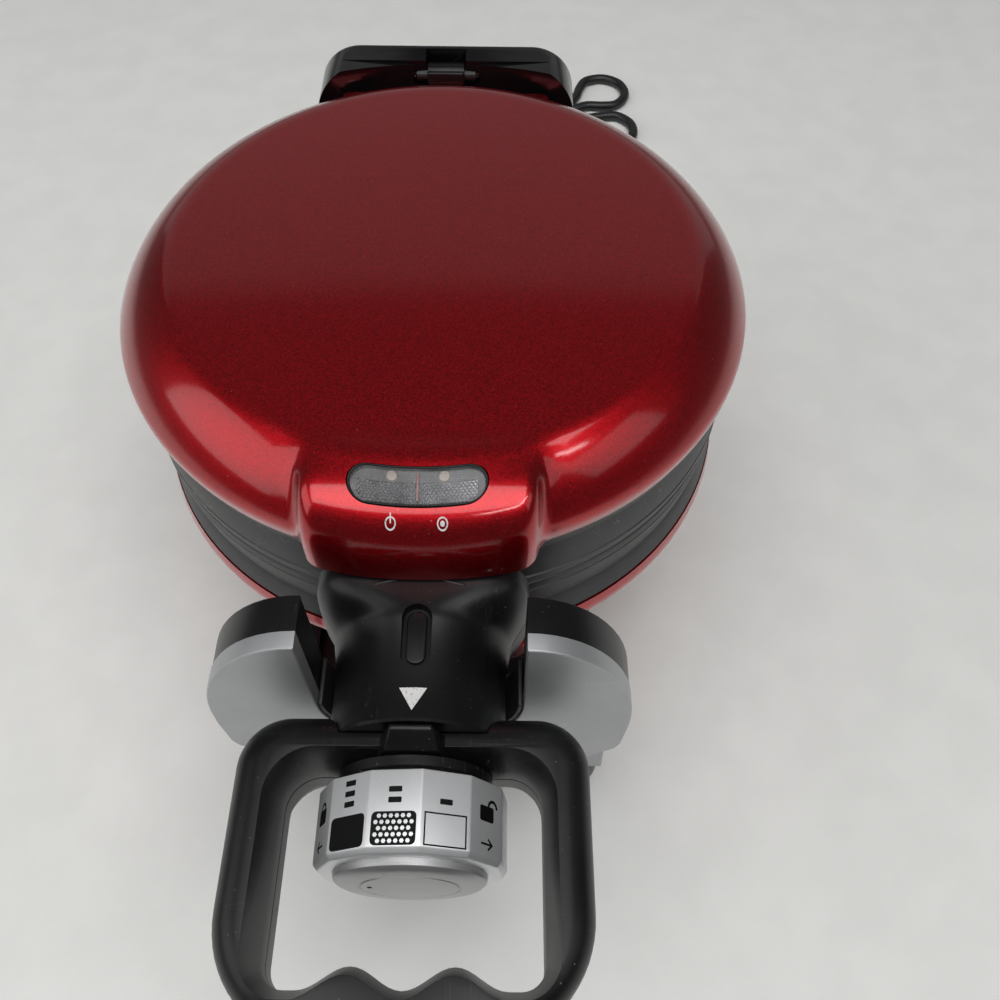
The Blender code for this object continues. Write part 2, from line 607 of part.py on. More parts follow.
def add_stand(parent, black, satin, rubber, nylon, steel):
    outline = rounded(
        [
            (-BASE_HALF, BASE_FRONT_Y, 0.012),
            (BASE_HALF, BASE_FRONT_Y, 0.012),
            (BASE_HALF, BASE_REAR_Y, 0.024),
            (-BASE_HALF, BASE_REAR_Y, 0.024),
        ],
        4,
    )
    base = add_mesh("base_housing", prism(outline, "Z", BASE_BOTTOM_Z, BLOCK_TOP_Z), black, parent)
    well_y = TRAY_HALF_Y + 0.0020
    well = box((-0.1, -well_y, BASE_FLOOR_Z), (0.1, well_y, 0.0))
    combine(base, "tray_well", well)

    ear = prism(yoke_outline(), "Y", EAR_SPLIT_Y + GAP / 2, EAR_BACK_Y)
    add_mesh("front_post_back", ear, black, parent)
    face = prism(yoke_outline(0.0004), "Y", EAR_FRONT_Y, EAR_SPLIT_Y - GAP / 2)
    face = add_mesh("front_post_shell", face, satin, parent)
    under = [(EAR_FRONT_Y - 0.001, -0.034), (EAR_SPLIT_Y + 0.001, -0.075)]
    under += [(EAR_FRONT_Y - 0.001, -0.075)]
    combine(face, "under_slope", prism(under, "X", -0.1, 0.1))

    leg = rounded(
        [
            (-LEG_HALF, BLOCK_TOP_Z + GAP, 0),
            (LEG_HALF, BLOCK_TOP_Z + GAP, 0),
            (LEG_HALF - 0.003, -0.034, 0.010),
            (-LEG_HALF + 0.003, -0.034, 0.010),
        ],
        4,
    )
    add_mesh("front_leg", prism(leg, "Y", LEG_FRONT_Y, LEG_BACK_Y), satin, parent)

    liner_out, liner_in, rise = SADDLE_R - GAP, COLLAR_R + 0.0007, 0.018
    liner = [(-liner_out, rise)] + arc(0, 0, liner_out, liner_out, 180, 360, 16)
    liner += [(liner_out, rise), (liner_in, rise)]
    liner += arc(0, 0, liner_in, liner_in, 360, 180, 16) + [(-liner_in, rise)]
    liner = prism(liner, "Y", EAR_FRONT_Y + 0.0008, EAR_BACK_Y - 0.0008)
    add_mesh("saddle_liner", liner, nylon, parent)

    post = rounded(
        [
            (-0.056, BLOCK_TOP_Z + GAP, 0),
            (0.056, BLOCK_TOP_Z + GAP, 0),
            (0.034, 0.026, 0.024),
            (-0.034, 0.026, 0.024),
        ],
        5,
    )
    rear = add_mesh("rear_post", prism(post, "Y", POST_FRONT_Y, POST_REAR_Y), black, parent)
    room = rounded(
        [
            (-0.050, -0.113, 0),
            (0.050, -0.113, 0),
            (0.031, 0.022, 0.020),
            (-0.031, 0.022, 0.020),
        ],
        4,
    )
    combine(rear, "room", prism(room, "Y", POST_FRONT_Y + 0.004, POST_REAR_Y + 0.01))
    combine(rear, "boss", cylinder("Y", 0.0245, POST_FRONT_Y, 0.1480, steps=28), "UNION")
    combine(rear, "bush_room", cylinder("Y", 0.0210, 0.13, 0.16, steps=28))
    for word, radius, low, high, kind in (
        ("detent_boss", 0.0058, POST_FRONT_Y + 0.002, 0.1560, "UNION"),
        ("detent_room", 0.0030, 0.1300, 0.1540, "DIFFERENCE"),
    ):
        combine(rear, word, cylinder("Y", radius, low, high, (0, DETENT_Z), 16), kind)
    cover = prism(post, "Y", POST_REAR_Y + GAP, POST_COVER_Y)
    add_mesh("rear_post_cover", cover, black, parent)

    bush = [
        (TUBE_R + 0.0004, POST_FRONT_Y + 0.0002),
        (TUBE_R + 0.0004, 0.1478),
        (0.0210 - GAP, 0.1478),
        (0.0210 - GAP, POST_FRONT_Y + 0.0002),
    ]
    add_mesh("pivot_bush", turned(bush, "Y", 28), nylon, parent)

    spring = []
    for i in range(49):
        turn = math.tau * i / 8
        x, z = 0.0019 * math.cos(turn), 0.0019 * math.sin(turn)
        spring.append((x, 0.1458 + 0.0072 * i / 48, DETENT_Z + z))
    tube("detent_spring", spring, 0.0008, steel, parent, 1)

    spots = [(x, y) for y in (-0.118, 0.146) for x in (-0.052, 0.052)]
    for number, (x, y) in enumerate(spots, 1):
        top = BASE_BOTTOM_Z - GAP
        foot = turned([(0, FLOOR_Z), (0.0080, FLOOR_Z), (0.0090, top), (0, top)], "Z", 16)
        bmesh.ops.translate(foot, verts=foot.verts, vec=(x, y, 0))
        add_mesh(f"foot_{number}", foot, rubber, parent)
        screw = cylinder("Z", 0.0034, BASE_BOTTOM_Z - 0.0022, top, (x * 0.6, y), 10)
        add_mesh(f"base_screw_{number}", screw, steel, parent)


def add_drip_tray(parent, black):
    walls = box_outline(TRAY_HALF_X, -TRAY_HALF_Y, TRAY_HALF_Y, 0.008, 3)
    tray = add_mesh("drip_tray", prism(walls, "Z", TRAY_BOTTOM_Z, TRAY_TOP_Z), black, parent)
    dish = box_outline(TRAY_HALF_X - 0.002, 0.002 - TRAY_HALF_Y, TRAY_HALF_Y - 0.002, 0.006, 3)
    combine(tray, "dish", prism(dish, "Z", TRAY_BOTTOM_Z + 0.002, 0.0))


def add_detent(parent, steel):
    tip, back = HOUSING_REAR_Y + GAP, 0.1441
    pin = [(0, tip), (0.0014, tip + 0.0004), (0.0024, tip + 0.0018), (0.0024, back), (0, back)]
    pin = turned(pin, "Y", 14)
    bmesh.ops.translate(pin, verts=pin.verts, vec=(0, 0, DETENT_Z))
    add_mesh("detent_plunger", pin, steel, parent)


# --- the cord ---------------------------------------------------------------------------
CORD_EXIT = (0.030, 0.2010, -0.1290)
CORD_LOW = FLOOR_Z + CORD_D / 2 + 0.0002
TIE_X, TIE_Y = 0.075, 0.371  # where the tie holds four strands side by side
STRAND = 0.0070  # distance between strands
CORD_STEP = 0.0145
PLUG_X, PLUG_Y, PLUG_Z = -0.0520, 0.4060, FLOOR_Z + 0.0082

# One fold, drawn along +X from between its two strands: out, round and back
FOLD = [(0, -3.5), (13, -6.6), (23, -14), (33, -18.5), (46, -13.1), (51.5, 0)]
FOLD += [(x, -y) for x, y in FOLD[4::-1]]


def fold_at(x, y, heading):
    """The fold's points in plan, turned by a heading in degrees."""
    turn = Matrix.Rotation(math.radians(heading), 2)
    return [tuple(Vector((x, y)) + turn @ Vector(p) * 0.001) for p in FOLD]


def cord_route():
    """The cord from the strain relief to the plug, folded up behind the stand."""
    lead_in = [
        CORD_EXIT,
        (0.0300, 0.2150, -0.1303),
        (0.0290, 0.2320, -0.1358),
        (0.0250, 0.2510, -0.1408),
    ]
    floor = [(0.0160, 0.2780), (0.0050, 0.3040), (0.0030, 0.3270), (0.0120, 0.3460)]
    floor += [(0.0300, 0.3570), (0.0520, 0.3605)]
    floor += fold_at(TIE_X, TIE_Y - STRAND, -24)
    floor += [(0.0520, TIE_Y - STRAND / 2), (0.0300, TIE_Y - STRAND / 2)]
    floor += fold_at(0.008, TIE_Y, 180)[::-1]
    floor += [(0.0300, TIE_Y + STRAND / 2), (0.0520, TIE_Y + STRAND / 2)]
    floor += fold_at(TIE_X, TIE_Y + STRAND, 36)
    floor += [(0.0500, 0.3826), (0.0270, 0.3880), (0.0040, 0.3975), (-0.0180, 0.4040)]
    lead_out = [(-0.0370, PLUG_Y, CORD_LOW + 0.0020), (PLUG_X + 0.0015, PLUG_Y, PLUG_Z)]
    return lead_in + [(x, y, CORD_LOW) for x, y in floor] + lead_out


def smooth(points, step):
    """Points at even steps along a smooth curve through the given ones."""
    p = [Vector(q) for q in points]
    p = [2 * p[0] - p[1]] + p + [2 * p[-1] - p[-2]]
    fine = []
    for a, b, c, d in zip(p, p[1:], p[2:], p[3:]):
        for k in range(12):
            t = k / 12
            bend = 2 * a - 5 * b + 4 * c - d
            fine.append(b + ((c - a) * t + bend * t**2 + (3 * b - a - 3 * c + d) * t**3) / 2)
    fine.append(p[-2])
    lengths = [0.0]
    for a, b in zip(fine, fine[1:]):
        lengths.append(lengths[-1] + (b - a).length)
    count = round(lengths[-1] / step)
    out, i = [], 0
    for n in range(count + 1):
        want = lengths[-1] * n / count
        while i < len(fine) - 2 and lengths[i + 1] < want:
            i += 1
        share = (want - lengths[i]) / (lengths[i + 1] - lengths[i])
        out.append(fine[i].lerp(fine[i + 1], share))
    return out


def add_cord(parent, jacket, brass, tie):
    relief = [(0, 0.1683), (0.0070, 0.1683), (0.0066, 0.176), (0.0045, 0.2006), (0, 0.2006)]
    relief = turned(relief, "Y", 16)
    bmesh.ops.translate(relief, verts=relief.verts, vec=(CORD_EXIT[0], 0, CORD_EXIT[2]))
    add_mesh("strain_relief", relief, jacket, parent)

    tube("power_cord", smooth(cord_route(), CORD_STEP), CORD_D, jacket, parent)

    low, high = FLOOR_Z + 0.0001, FLOOR_Z + CORD_D + 0.0016
    half = 2 * STRAND + 0.0015
    band = rounded([(-half, low, 0), (half, low, 0), (half, high, 0.003), (-half, high, 0.003)], 3)
    band = prism([(TIE_Y + y, z) for y, z in band], "X", 0.0600, 0.0650)
    band = add_mesh("cord_tie", band, tie, parent)
    room = box((0.05, TIE_Y - half + 0.001, -0.2), (0.07, TIE_Y + half - 0.001, high - 0.001))
    combine(band, "strands", room)

    half_w, half_h = 0.0125, 0.0080
    body = rounded(
        [
            (PLUG_X, PLUG_Y - 0.0050, 0),
            (PLUG_X, PLUG_Y + 0.0050, 0),
            (PLUG_X - 0.018, PLUG_Y + half_w, 0.010),
            (PLUG_X - 0.036, PLUG_Y + half_w, 0.002),
            (PLUG_X - 0.036, PLUG_Y - half_w, 0.002),
            (PLUG_X - 0.018, PLUG_Y - half_w, 0.010),
        ],
        3,
    )
    add_mesh("plug_body", prism(body, "Z", PLUG_Z - half_h, PLUG_Z + half_h), jacket, parent)
    for number, side in enumerate((-1, 1), 1):
        y = PLUG_Y + side * 0.00635
        low = (PLUG_X - 0.0520, y - 0.00075, PLUG_Z - 0.0032)
        blade = box(low, (PLUG_X - 0.0363, y + 0.00075, PLUG_Z + 0.0032))
        add_mesh(f"plug_blade_{number}", blade, brass, parent)


def main():
    clear_scene()
    red = finish("candy_red", (0.42, 0.012, 0.018), 0.25, 0.7)
    dark = finish("skirt_grey", (0.035, 0.036, 0.038), 0.55)
    iron = finish("nonstick_iron", (0.03, 0.03, 0.032), 0.45, 0.3)
    steel = finish("bright_steel", (0.62, 0.62, 0.63), 0.3, 1.0)
    black = finish("satin_black", (0.018, 0.018, 0.02), 0.45)
    gloss = finish("gloss_black", (0.014, 0.014, 0.016), 0.15)
    satin = finish("satin_silver", (0.58, 0.59, 0.60), 0.35, 0.85)
    cap = finish("cap_silver", (0.50, 0.50, 0.51), 0.4, 0.8)
    clear = finish("clear_lens", (0.85, 0.86, 0.87), 0.1, 0.0, 0.4)
    amber = finish("lamp_amber", (0.75, 0.45, 0.20), 0.3)
    white = finish("ceramic_white", (0.80, 0.79, 0.76), 0.6)
    rubber = finish("foot_rubber", (0.03, 0.03, 0.03), 0.9)
    nylon = finish("nylon_black", (0.03, 0.03, 0.03), 0.5)
    brass = finish("plug_brass", (0.72, 0.58, 0.32), 0.3, 1.0)
    tie = finish("tie_white", (0.85, 0.85, 0.83), 0.6)

    stand = axis_empty("stand", (0, 0, 0))
    flip = axis_empty("flip_axis", HEAD, stand)
    hinge = axis_empty("lid_hinge_axis", HEAD + Vector((0, HINGE_Y, HINGE_Z)), flip)
    dial = axis_empty("dial_axis", HEAD + Vector((0, DIAL_REAR_Y, 0)), hinge)
    tray = axis_empty("tray_slide", HEAD + Vector((0, 0, TRAY_BOTTOM_Z)), stand)
    detent = axis_empty("detent_slide", HEAD + Vector((0, 0.140, DETENT_Z)), stand)

    finishes = (red, dark, iron, steel, black)
    add_lid(hinge, finishes, clear, amber, white)
    add_lower_half(flip, finishes, gloss, steel)
    add_dial(dial, satin, cap, steel, black)
    add_stand(stand, black, satin, rubber, nylon, steel)
    add_drip_tray(tray, black)
    add_detent(detent, steel)
    add_cord(stand, black, brass, tie)


main()
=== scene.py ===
"""Flip waffle maker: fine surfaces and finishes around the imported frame.

Each sub-assembly is a class that holds its sizes and makes its own pieces.
Sizes are in metres. Meshes are drawn about the head's centre on the flip axis,
with +X to the right, +Y to the back and +Z up, and are moved into the frame as
each piece is finished.
"""

from __future__ import annotations

import json
import logging
import math
from dataclasses import dataclass, field
from enum import Enum
from typing import Any, Callable, Iterable, Sequence, Union

import bmesh
import bpy
from mathutils import Matrix, Vector

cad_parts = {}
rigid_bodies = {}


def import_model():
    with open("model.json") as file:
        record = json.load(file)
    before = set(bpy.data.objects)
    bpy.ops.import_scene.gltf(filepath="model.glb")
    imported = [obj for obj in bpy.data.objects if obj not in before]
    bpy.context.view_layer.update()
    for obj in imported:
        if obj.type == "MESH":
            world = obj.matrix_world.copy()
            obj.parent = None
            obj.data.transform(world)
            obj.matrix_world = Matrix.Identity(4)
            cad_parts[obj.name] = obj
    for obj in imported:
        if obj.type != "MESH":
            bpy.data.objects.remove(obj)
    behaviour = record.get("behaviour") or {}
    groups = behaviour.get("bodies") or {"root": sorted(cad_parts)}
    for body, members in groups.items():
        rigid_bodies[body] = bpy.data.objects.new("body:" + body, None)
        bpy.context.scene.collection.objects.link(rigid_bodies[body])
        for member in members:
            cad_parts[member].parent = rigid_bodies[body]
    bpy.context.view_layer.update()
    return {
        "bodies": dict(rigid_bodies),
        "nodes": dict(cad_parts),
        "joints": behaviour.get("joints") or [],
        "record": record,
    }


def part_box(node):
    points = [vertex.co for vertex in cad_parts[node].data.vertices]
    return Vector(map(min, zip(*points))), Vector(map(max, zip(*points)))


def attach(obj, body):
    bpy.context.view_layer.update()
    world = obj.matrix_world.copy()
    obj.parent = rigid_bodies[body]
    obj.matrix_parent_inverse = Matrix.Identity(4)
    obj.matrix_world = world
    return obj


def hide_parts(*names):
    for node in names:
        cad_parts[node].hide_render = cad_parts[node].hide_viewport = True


log = logging.getLogger("waffle_maker")

Point2 = tuple[float, float]
Point3 = tuple[float, float, float]
Colour = tuple[float, float, float]

GAP = 0.00035  # clearance between neighbouring pieces


class Axis(Enum):
    """The direction that an outline is extruded along or turned about."""

    X = "X"
    Y = "Y"
    Z = "Z"

    def place(self, a: float, b: float, t: float) -> Point3:
        """Puts a flat point and a distance along the axis into space.

        Args:
            a: first coordinate across the axis.
            b: second coordinate across the axis.
            t: distance along the axis.

        Returns:
            The point in space.
        """
        return {Axis.X: (t, a, b), Axis.Y: (a, t, b), Axis.Z: (a, b, t)}[self]


class Cut(Enum):
    """What a second shape does to the first."""

    AWAY = "DIFFERENCE"
    ONTO = "UNION"
    WITHIN = "INTERSECT"


# --- outlines ---------------------------------------------------------------
def arc(cx: float, cy: float, radius: float, start: float, stop: float, steps: int) -> list[Point2]:
    """Points of a circular arc.

    Args:
        cx: centre, first coordinate.
        cy: centre, second coordinate.
        radius: radius of the arc.
        start: first angle in degrees.
        stop: last angle in degrees.
        steps: number of equal steps.

    Returns:
        The points, first to last.
    """
    turns = [math.radians(start + (stop - start) * i / steps) for i in range(steps + 1)]
    return [(cx + radius * math.cos(a), cy + radius * math.sin(a)) for a in turns]


def rounded(corners: Sequence[tuple[float, float, float]], steps: int = 8) -> list[Point2]:
    """An outline whose corners are rounded.

    Args:
        corners: x, y and radius of each corner.
        steps: number of steps round each corner.

    Returns:
        The outline's points.
    """
    outline: list[Point2] = []
    count = len(corners)
    for i, (x, y, radius) in enumerate(corners):
        here = Vector((x, y))
        if not radius:
            outline.append((x, y))
            continue
        back = (Vector(corners[i - 1][:2]) - here).normalized()
        ahead = (Vector(corners[(i + 1) % count][:2]) - here).normalized()
        half = back.angle(ahead) / 2
        centre = here + (back + ahead).normalized() * (radius / math.sin(half))
        reach = radius / math.tan(half)
        first = here + back * reach - centre
        turn = (here + ahead * reach - centre).angle_signed(first)
        for k in range(steps + 1):
            point = centre + Matrix.Rotation(turn * k / steps, 2) @ first
            outline.append((point.x, point.y))
    return outline


def box_outline(half_x: float, low_y: float, high_y: float, radius: float, steps: int = 8) -> list[Point2]:
    """A rounded rectangle, centred across its first axis.

    Args:
        half_x: half its width.
        low_y: lower edge.
        high_y: upper edge.
        radius: corner radius.
        steps: steps round each corner.

    Returns:
        The outline's points.
    """
    corners = [(-half_x, low_y), (half_x, low_y), (half_x, high_y), (-half_x, high_y)]
    return rounded([(x, y, radius) for x, y in corners], steps)


def stadium(length: float, width: float, steps: int = 12) -> list[Point2]:
    """A long hole's outline, centred, with round ends.

    Args:
        length: end to end.
        width: side to side.
        steps: steps round each end.

    Returns:
        The outline's points.
    """
    r = width / 2
    x = length / 2 - r
    return arc(x, 0, r, -90, 90, steps) + arc(-x, 0, r, 90, 270, steps)


def lying_at(along: Axis, place: float) -> Callable[[bmesh.types.BMEdge], bool]:
    """A test for edges that lie flat at one place.

    Args:
        along: the direction that the place is measured along.
        place: the place, in metres.

    Returns:
        The test.
    """
    index = "XYZ".index(along.name)
    return lambda e: all(abs(v.co[index] - place) < 1e-6 for v in e.verts)


def smooth_max(a: float, b: float, k: float) -> float:
    """The larger of two distances, with the edge between them rounded by k."""
    blend = max(k - abs(a - b), 0.0) / k
    return max(a, b) + blend * blend * k * 0.25


def smooth_min(a: float, b: float, k: float) -> float:
    """The smaller of two distances, with the valley between them filled by k."""
    return -smooth_max(-a, -b, k)


# --- meshes -------------------------------------------------------------------
@dataclass
class Mould:
    """A mesh under construction, made and changed with bmesh operators."""

    bm: bmesh.types.BMesh = field(default_factory=bmesh.new)

    @classmethod
    def extruded(cls, outline: Sequence[Point2], along: Axis, low: float, high: float) -> Mould:
        """A solid with a flat outline.

        Args:
            outline: its points across the axis.
            along: the axis it is extruded along.
            low: where it starts.
            high: where it ends.

        Returns:
            The solid.
        """
        mould = cls()
        base = mould.bm.faces.new([mould.bm.verts.new(along.place(a, b, low)) for a, b in outline])
        top = bmesh.ops.extrude_face_region(mould.bm, geom=[base])["geom"]
        moved = [v for v in top if isinstance(v, bmesh.types.BMVert)]
        bmesh.ops.translate(mould.bm, verts=moved, vec=along.place(0, 0, high - low))
        bmesh.ops.recalc_face_normals(mould.bm, faces=mould.bm.faces)
        return mould

    @classmethod
    def turned(
        cls, profile: Sequence[Point2], about: Axis, steps: int, angle: float = math.tau,
        start: float = 0.0,
    ) -> Mould:
        """A solid turned about the Z or Y axis.

        Args:
            profile: radius and height of each point.
            about: Axis.Z or Axis.Y.
            steps: steps of the whole turn.
            angle: how far it is turned.
            start: first angle, from +X for Z, and from +Z towards +X for Y.

        Returns:
            The solid.
        """
        if about is Axis.Z:
            axis, out = Vector((0, 0, 1)), Vector((math.cos(start), math.sin(start), 0))
        else:
            axis, out = Vector((0, 1, 0)), Vector((math.sin(start), 0, math.cos(start)))
        mould = cls()
        bm = mould.bm
        verts = [bm.verts.new(out * r + axis * h) for r, h in profile]
        pairs = list(zip(verts, verts[1:] + verts[:1]))
        if profile[0][0] < 1e-9 and profile[-1][0] < 1e-9:
            pairs.pop()
        edges = [bm.edges.new(pair) for pair in pairs]
        full = abs(angle - math.tau) < 1e-9
        faces = [] if full else [bm.faces.new(verts)]
        bmesh.ops.spin(
            bm, geom=verts + edges + faces, cent=(0, 0, 0), axis=axis, angle=angle, steps=steps,
            use_merge=full,
        )
        bmesh.ops.remove_doubles(bm, verts=bm.verts, dist=1e-6)
        bmesh.ops.recalc_face_normals(bm, faces=bm.faces)
        return mould

    @classmethod
    def block(cls, low: Point3, high: Point3) -> Mould:
        """A box between two corners."""
        outline = [(low[0], low[1]), (high[0], low[1]), (high[0], high[1]), (low[0], high[1])]
        return cls.extruded(outline, Axis.Z, low[2], high[2])

    @classmethod
    def rod(
        cls, along: Axis, radius: float, low: float, high: float, at: Point2 = (0, 0), steps: int = 32
    ) -> Mould:
        """A cylinder along an axis, through a point across it."""
        return cls.extruded(arc(*at, radius, 0, 360, steps)[:-1], along, low, high)

    def soften(
        self, width: float, segments: int = 3, pick: Callable[[bmesh.types.BMEdge], bool] | None = None,
        sharp: float = 30.0,
    ) -> Mould:
        """Rounds the sharp edges.

        Args:
            width: size of the rounding.
            segments: steps of the rounding.
            pick: chooses among the sharp edges; all if left out.
            sharp: least angle in degrees of an edge that is rounded.

        Returns:
            This mould.
        """
        least = math.radians(sharp)
        edges = [
            e
            for e in self.bm.edges
            if len(e.link_faces) == 2 and e.calc_face_angle(0) > least and (pick is None or pick(e))
        ]
        bmesh.ops.bevel(
            self.bm, geom=edges, offset=width, affect="EDGES", offset_type="OFFSET", segments=segments,
            profile=0.5, material=-1, clamp_overlap=True,
        )
        return self

    def move(self, x: float = 0.0, y: float = 0.0, z: float = 0.0) -> Mould:
        """Shifts the mesh."""
        bmesh.ops.translate(self.bm, verts=self.bm.verts, vec=(x, y, z))
        return self

    def place(self, matrix: Matrix) -> Mould:
        """Moves the mesh by a matrix and keeps its faces pointing out.

        Args:
            matrix: where the mesh goes.

        Returns:
            The mesh.
        """
        bmesh.ops.transform(self.bm, verts=self.bm.verts, matrix=matrix)
        if matrix.determinant() < 0:
            bmesh.ops.reverse_faces(self.bm, faces=self.bm.faces)
        return self

    def over(self, lower: bool) -> Mould:
        """Turns the mesh half way round the flip axis if it is for the lower half."""
        return self.place(Matrix.Rotation(math.pi, 4, "Y")) if lower else self

    def reshape(self, rule: Callable[[Vector], Vector]) -> Mould:
        """Moves every vertex by a rule.

        Args:
            rule: gives each vertex its new place.

        Returns:
            The mesh.
        """
        for vert in self.bm.verts:
            vert.co = rule(vert.co)
        return self

    def with_more(self, *others: Mould) -> Mould:
        """Adds other meshes to this one as they are.

        Args:
            others: the meshes to add.

        Returns:
            The mesh.
        """
        for other in others:
            spare = bpy.data.meshes.new("spare")
            other.bm.to_mesh(spare)
            other.bm.free()
            self.bm.from_mesh(spare)
            bpy.data.meshes.remove(spare)
        return self

    def loose(self, name: str) -> bpy.types.Object:
        """Makes the mesh a plain object and frees the bmesh.

        Args:
            name: the name to give.

        Returns:
            The object.
        """
        mesh = bpy.data.meshes.new(name)
        self.bm.to_mesh(mesh)
        self.bm.free()
        made = bpy.data.objects.new(name, mesh)
        bpy.context.scene.collection.objects.link(made)
        return made

    def carve(self, tool: Mould, cut: Cut = Cut.AWAY) -> Mould:
        """Cuts, joins or crosses this shape with another closed one.

        Args:
            tool: the other shape, which is used up.
            cut: what it does.

        Returns:
            This mould.
        """
        target, knife = self.loose("target"), tool.loose("knife")
        modifier = target.modifiers.new("carve", "BOOLEAN")
        modifier.operation = cut.value
        modifier.solver = "EXACT"
        modifier.object = knife
        depsgraph = bpy.context.evaluated_depsgraph_get()
        result = bpy.data.meshes.new_from_object(target.evaluated_get(depsgraph))
        self.bm = bmesh.new()
        self.bm.from_mesh(result)
        bmesh.ops.remove_doubles(self.bm, verts=self.bm.verts, dist=2e-6)
        bmesh.ops.dissolve_degenerate(self.bm, edges=self.bm.edges, dist=2e-6)
        for spare in (target, knife):
            data = spare.data
            bpy.data.objects.remove(spare)
            bpy.data.meshes.remove(data)
        bpy.data.meshes.remove(result)
        return self


# --- shader maths ---------------------------------------------------------------
Operand = Union["Value", float, int]


class Value:
    """A number that varies over a surface. Python's operators add Math nodes."""

    def __init__(self, graph: Graph, socket: bpy.types.NodeSocket) -> None:
        """Wraps a node's output socket."""
        self.graph = graph
        self.socket = socket

    def math(self, operation: str, *others: Operand, swap: bool = False) -> Value:
        """Adds a Math node.

        Args:
            operation: the node's operation.
            others: the other operands.
            swap: whether this value comes second.

        Returns:
            The result.
        """
        operands: list[Operand] = [self, *others]
        if swap:
            operands.reverse()
        sockets = dict(enumerate(operands))
        return self.graph.value(self.graph.add("ShaderNodeMath", {"operation": operation}, sockets))

    def __add__(self, other: Operand) -> Value:
        """Self plus other."""
        return self.math("ADD", other)

    __radd__ = __add__

    def __sub__(self, other: Operand) -> Value:
        """Self minus other."""
        return self.math("SUBTRACT", other)

    def __rsub__(self, other: Operand) -> Value:
        """Other minus self."""
        return self.math("SUBTRACT", other, swap=True)

    def __mul__(self, other: Operand) -> Value:
        """Self times other."""
        return self.math("MULTIPLY", other)

    __rmul__ = __mul__

    def __truediv__(self, other: Operand) -> Value:
        """Self over other."""
        return self.math("DIVIDE", other)

    def __gt__(self, other: Operand) -> Value:
        """One where self is above other."""
        return self.math("GREATER_THAN", other)

    def __lt__(self, other: Operand) -> Value:
        """One where self is below other."""
        return self.math("LESS_THAN", other)

    def __abs__(self) -> Value:
        """Self without its sign."""
        return self.math("ABSOLUTE")

    def eased(self, low: float, high: float) -> Value:
        """Zero below low, one above high, and smooth between; low may be above high.

        Args:
            low: the lower end.
            high: the upper end.

        Returns:
            The value.
        """
        sockets = {"Value": self, "From Min": low, "From Max": high}
        node = self.graph.add("ShaderNodeMapRange", {"interpolation_type": "SMOOTHSTEP"}, sockets)
        return self.graph.value(node, "Result")


